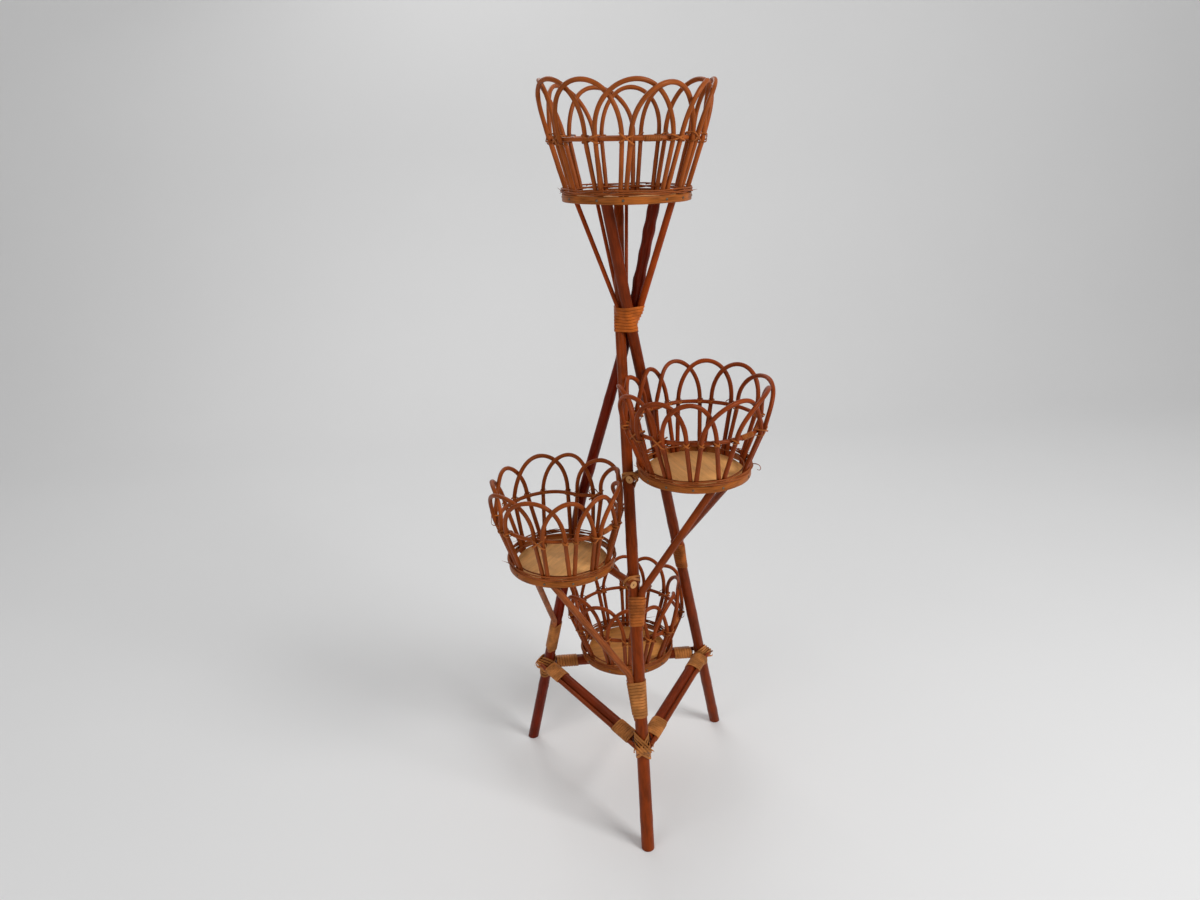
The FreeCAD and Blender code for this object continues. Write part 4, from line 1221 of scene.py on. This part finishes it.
def waist_point(height, angle):
    """The point of the bundle's outline that faces an angle, as a tight strip would lie."""
    out = turned(1, angle, 0)
    discs = [(pole_centre(p, height), pole_radius(p, height) / pole_way(p, height).z)
             for p in POLES.values()]
    for foot, top, radius in STRUTS.values():
        share = min(1, (height - foot.z) / STRUT_TAIL + 1)
        if share > 0:
            centre = foot.lerp(top, (height - foot.z) / (top.z - foot.z))
            discs.append((centre, radius * STRUT_SLANT * share))
    centre, radius = max(discs, key=lambda disc: disc[0].dot(out) + disc[1])
    return centre + out * (radius + LAID + CROWN_LOOSE)


crown_points = []
for k in range(CROWN_TURNS * CROWN_STEPS + 1):
    t = k / (CROWN_TURNS * CROWN_STEPS)
    crown_points.append(waist_point(CROWN_LOW + CROWN_RISE * t, 360 * CROWN_TURNS * t))
crown_points = eased(even(crown_points, CROWN_STEP))
crown_outs = [across(p - waist_middle(p.z), UP).normalized() for p in crown_points]
strips("crown_strip", [tapered(crown_points, crown_outs)], STRIP_WIDTH, "crown_lashing", red_cane)


# Floor, light and camera. Places and sizes are in metres here.

STAGE_SIDE, STAGE_FRONT, STAGE_BACK, STAGE_TOP = 5.0, -4.0, 1.6, 5.0
STAGE_CURVE, STAGE_STEPS, STAGE_DROP = 0.9, 12, 0.0005


def stage_sheet():
    """One pale sheet that is the floor in front and rises behind as the backdrop."""
    profile = [(STAGE_FRONT, 0.0), (STAGE_BACK, 0.0)]
    for k in range(1, STAGE_STEPS + 1):
        a = pi / 2 * k / STAGE_STEPS
        profile.append((STAGE_BACK + STAGE_CURVE * sin(a), STAGE_CURVE - STAGE_CURVE * cos(a)))
    profile.append((STAGE_BACK + STAGE_CURVE, STAGE_TOP))
    mesh = bpy.data.meshes.new("stage")
    verts = [(x, y, z - STAGE_DROP) for y, z in profile for x in (-STAGE_SIDE, STAGE_SIDE)]
    faces = [(k, k + 1, k + 3, k + 2) for k in range(0, len(verts) - 2, 2)]
    mesh.from_pydata(verts, [], faces)
    f = Finish("stage_paper")
    soft = f.noise(f.object_place(), 3.0, 2.0)
    colour = f.blend(soft * 0.3, (0.80, 0.80, 0.80, 1), (0.74, 0.74, 0.745, 1))
    mesh.materials.append(f.surface({"Base Color": colour, "Roughness": 0.6}))
    mesh.shade_smooth()
    linked("stage", mesh)


def lamp(name, place, target, size, power):
    data = bpy.data.lights.new(name, "AREA")
    data.size = size
    data.energy = power
    made = linked(name, data)
    made.location = place
    made.rotation_euler = (Vector(target) - Vector(place)).to_track_quat("-Z", "Y").to_euler()


stage_sheet()
lamp("window_light", (1.9, -1.6, 2.3), (0, 0, 0.55), 1.2, 60)
lamp("fill_light", (-2.2, -1.9, 1.7), (0, 0, 0.5), 2.0, 19)
lamp("back_light", (-0.6, 1.9, 2.4), (0, 0, 0.7), 1.4, 16)
world = bpy.data.worlds.new("studio")
world.use_nodes = True
background = world.node_tree.nodes["Background"].inputs
background["Color"].default_value = (1, 1, 1, 1)
background["Strength"].default_value = 0.34
bpy.context.scene.world = world

# The photograph's camera: its place in millimetres, its lens and its angles
CAMERA_PLACE = Vector((-144.9, -1227.5, 1030.0))
HEADING, DOWN, ROLL = radians(-5.0), radians(20.65), radians(-1.73)

camera_data = bpy.data.cameras.new("camera")
camera_data.lens = 27.03
camera_data.sensor_width = 36.0
camera = linked("camera", camera_data)
camera.matrix_world = (Matrix.Translation((CAMERA_PLACE + SHIFT) * MM)
                       @ Matrix.Rotation(HEADING, 4, "Z")
                       @ Matrix.Rotation(pi / 2 - DOWN, 4, "X") @ Matrix.Rotation(ROLL, 4, "Z"))
bpy.context.scene.camera = camera
bpy.context.scene.view_settings.view_transform = "Standard"
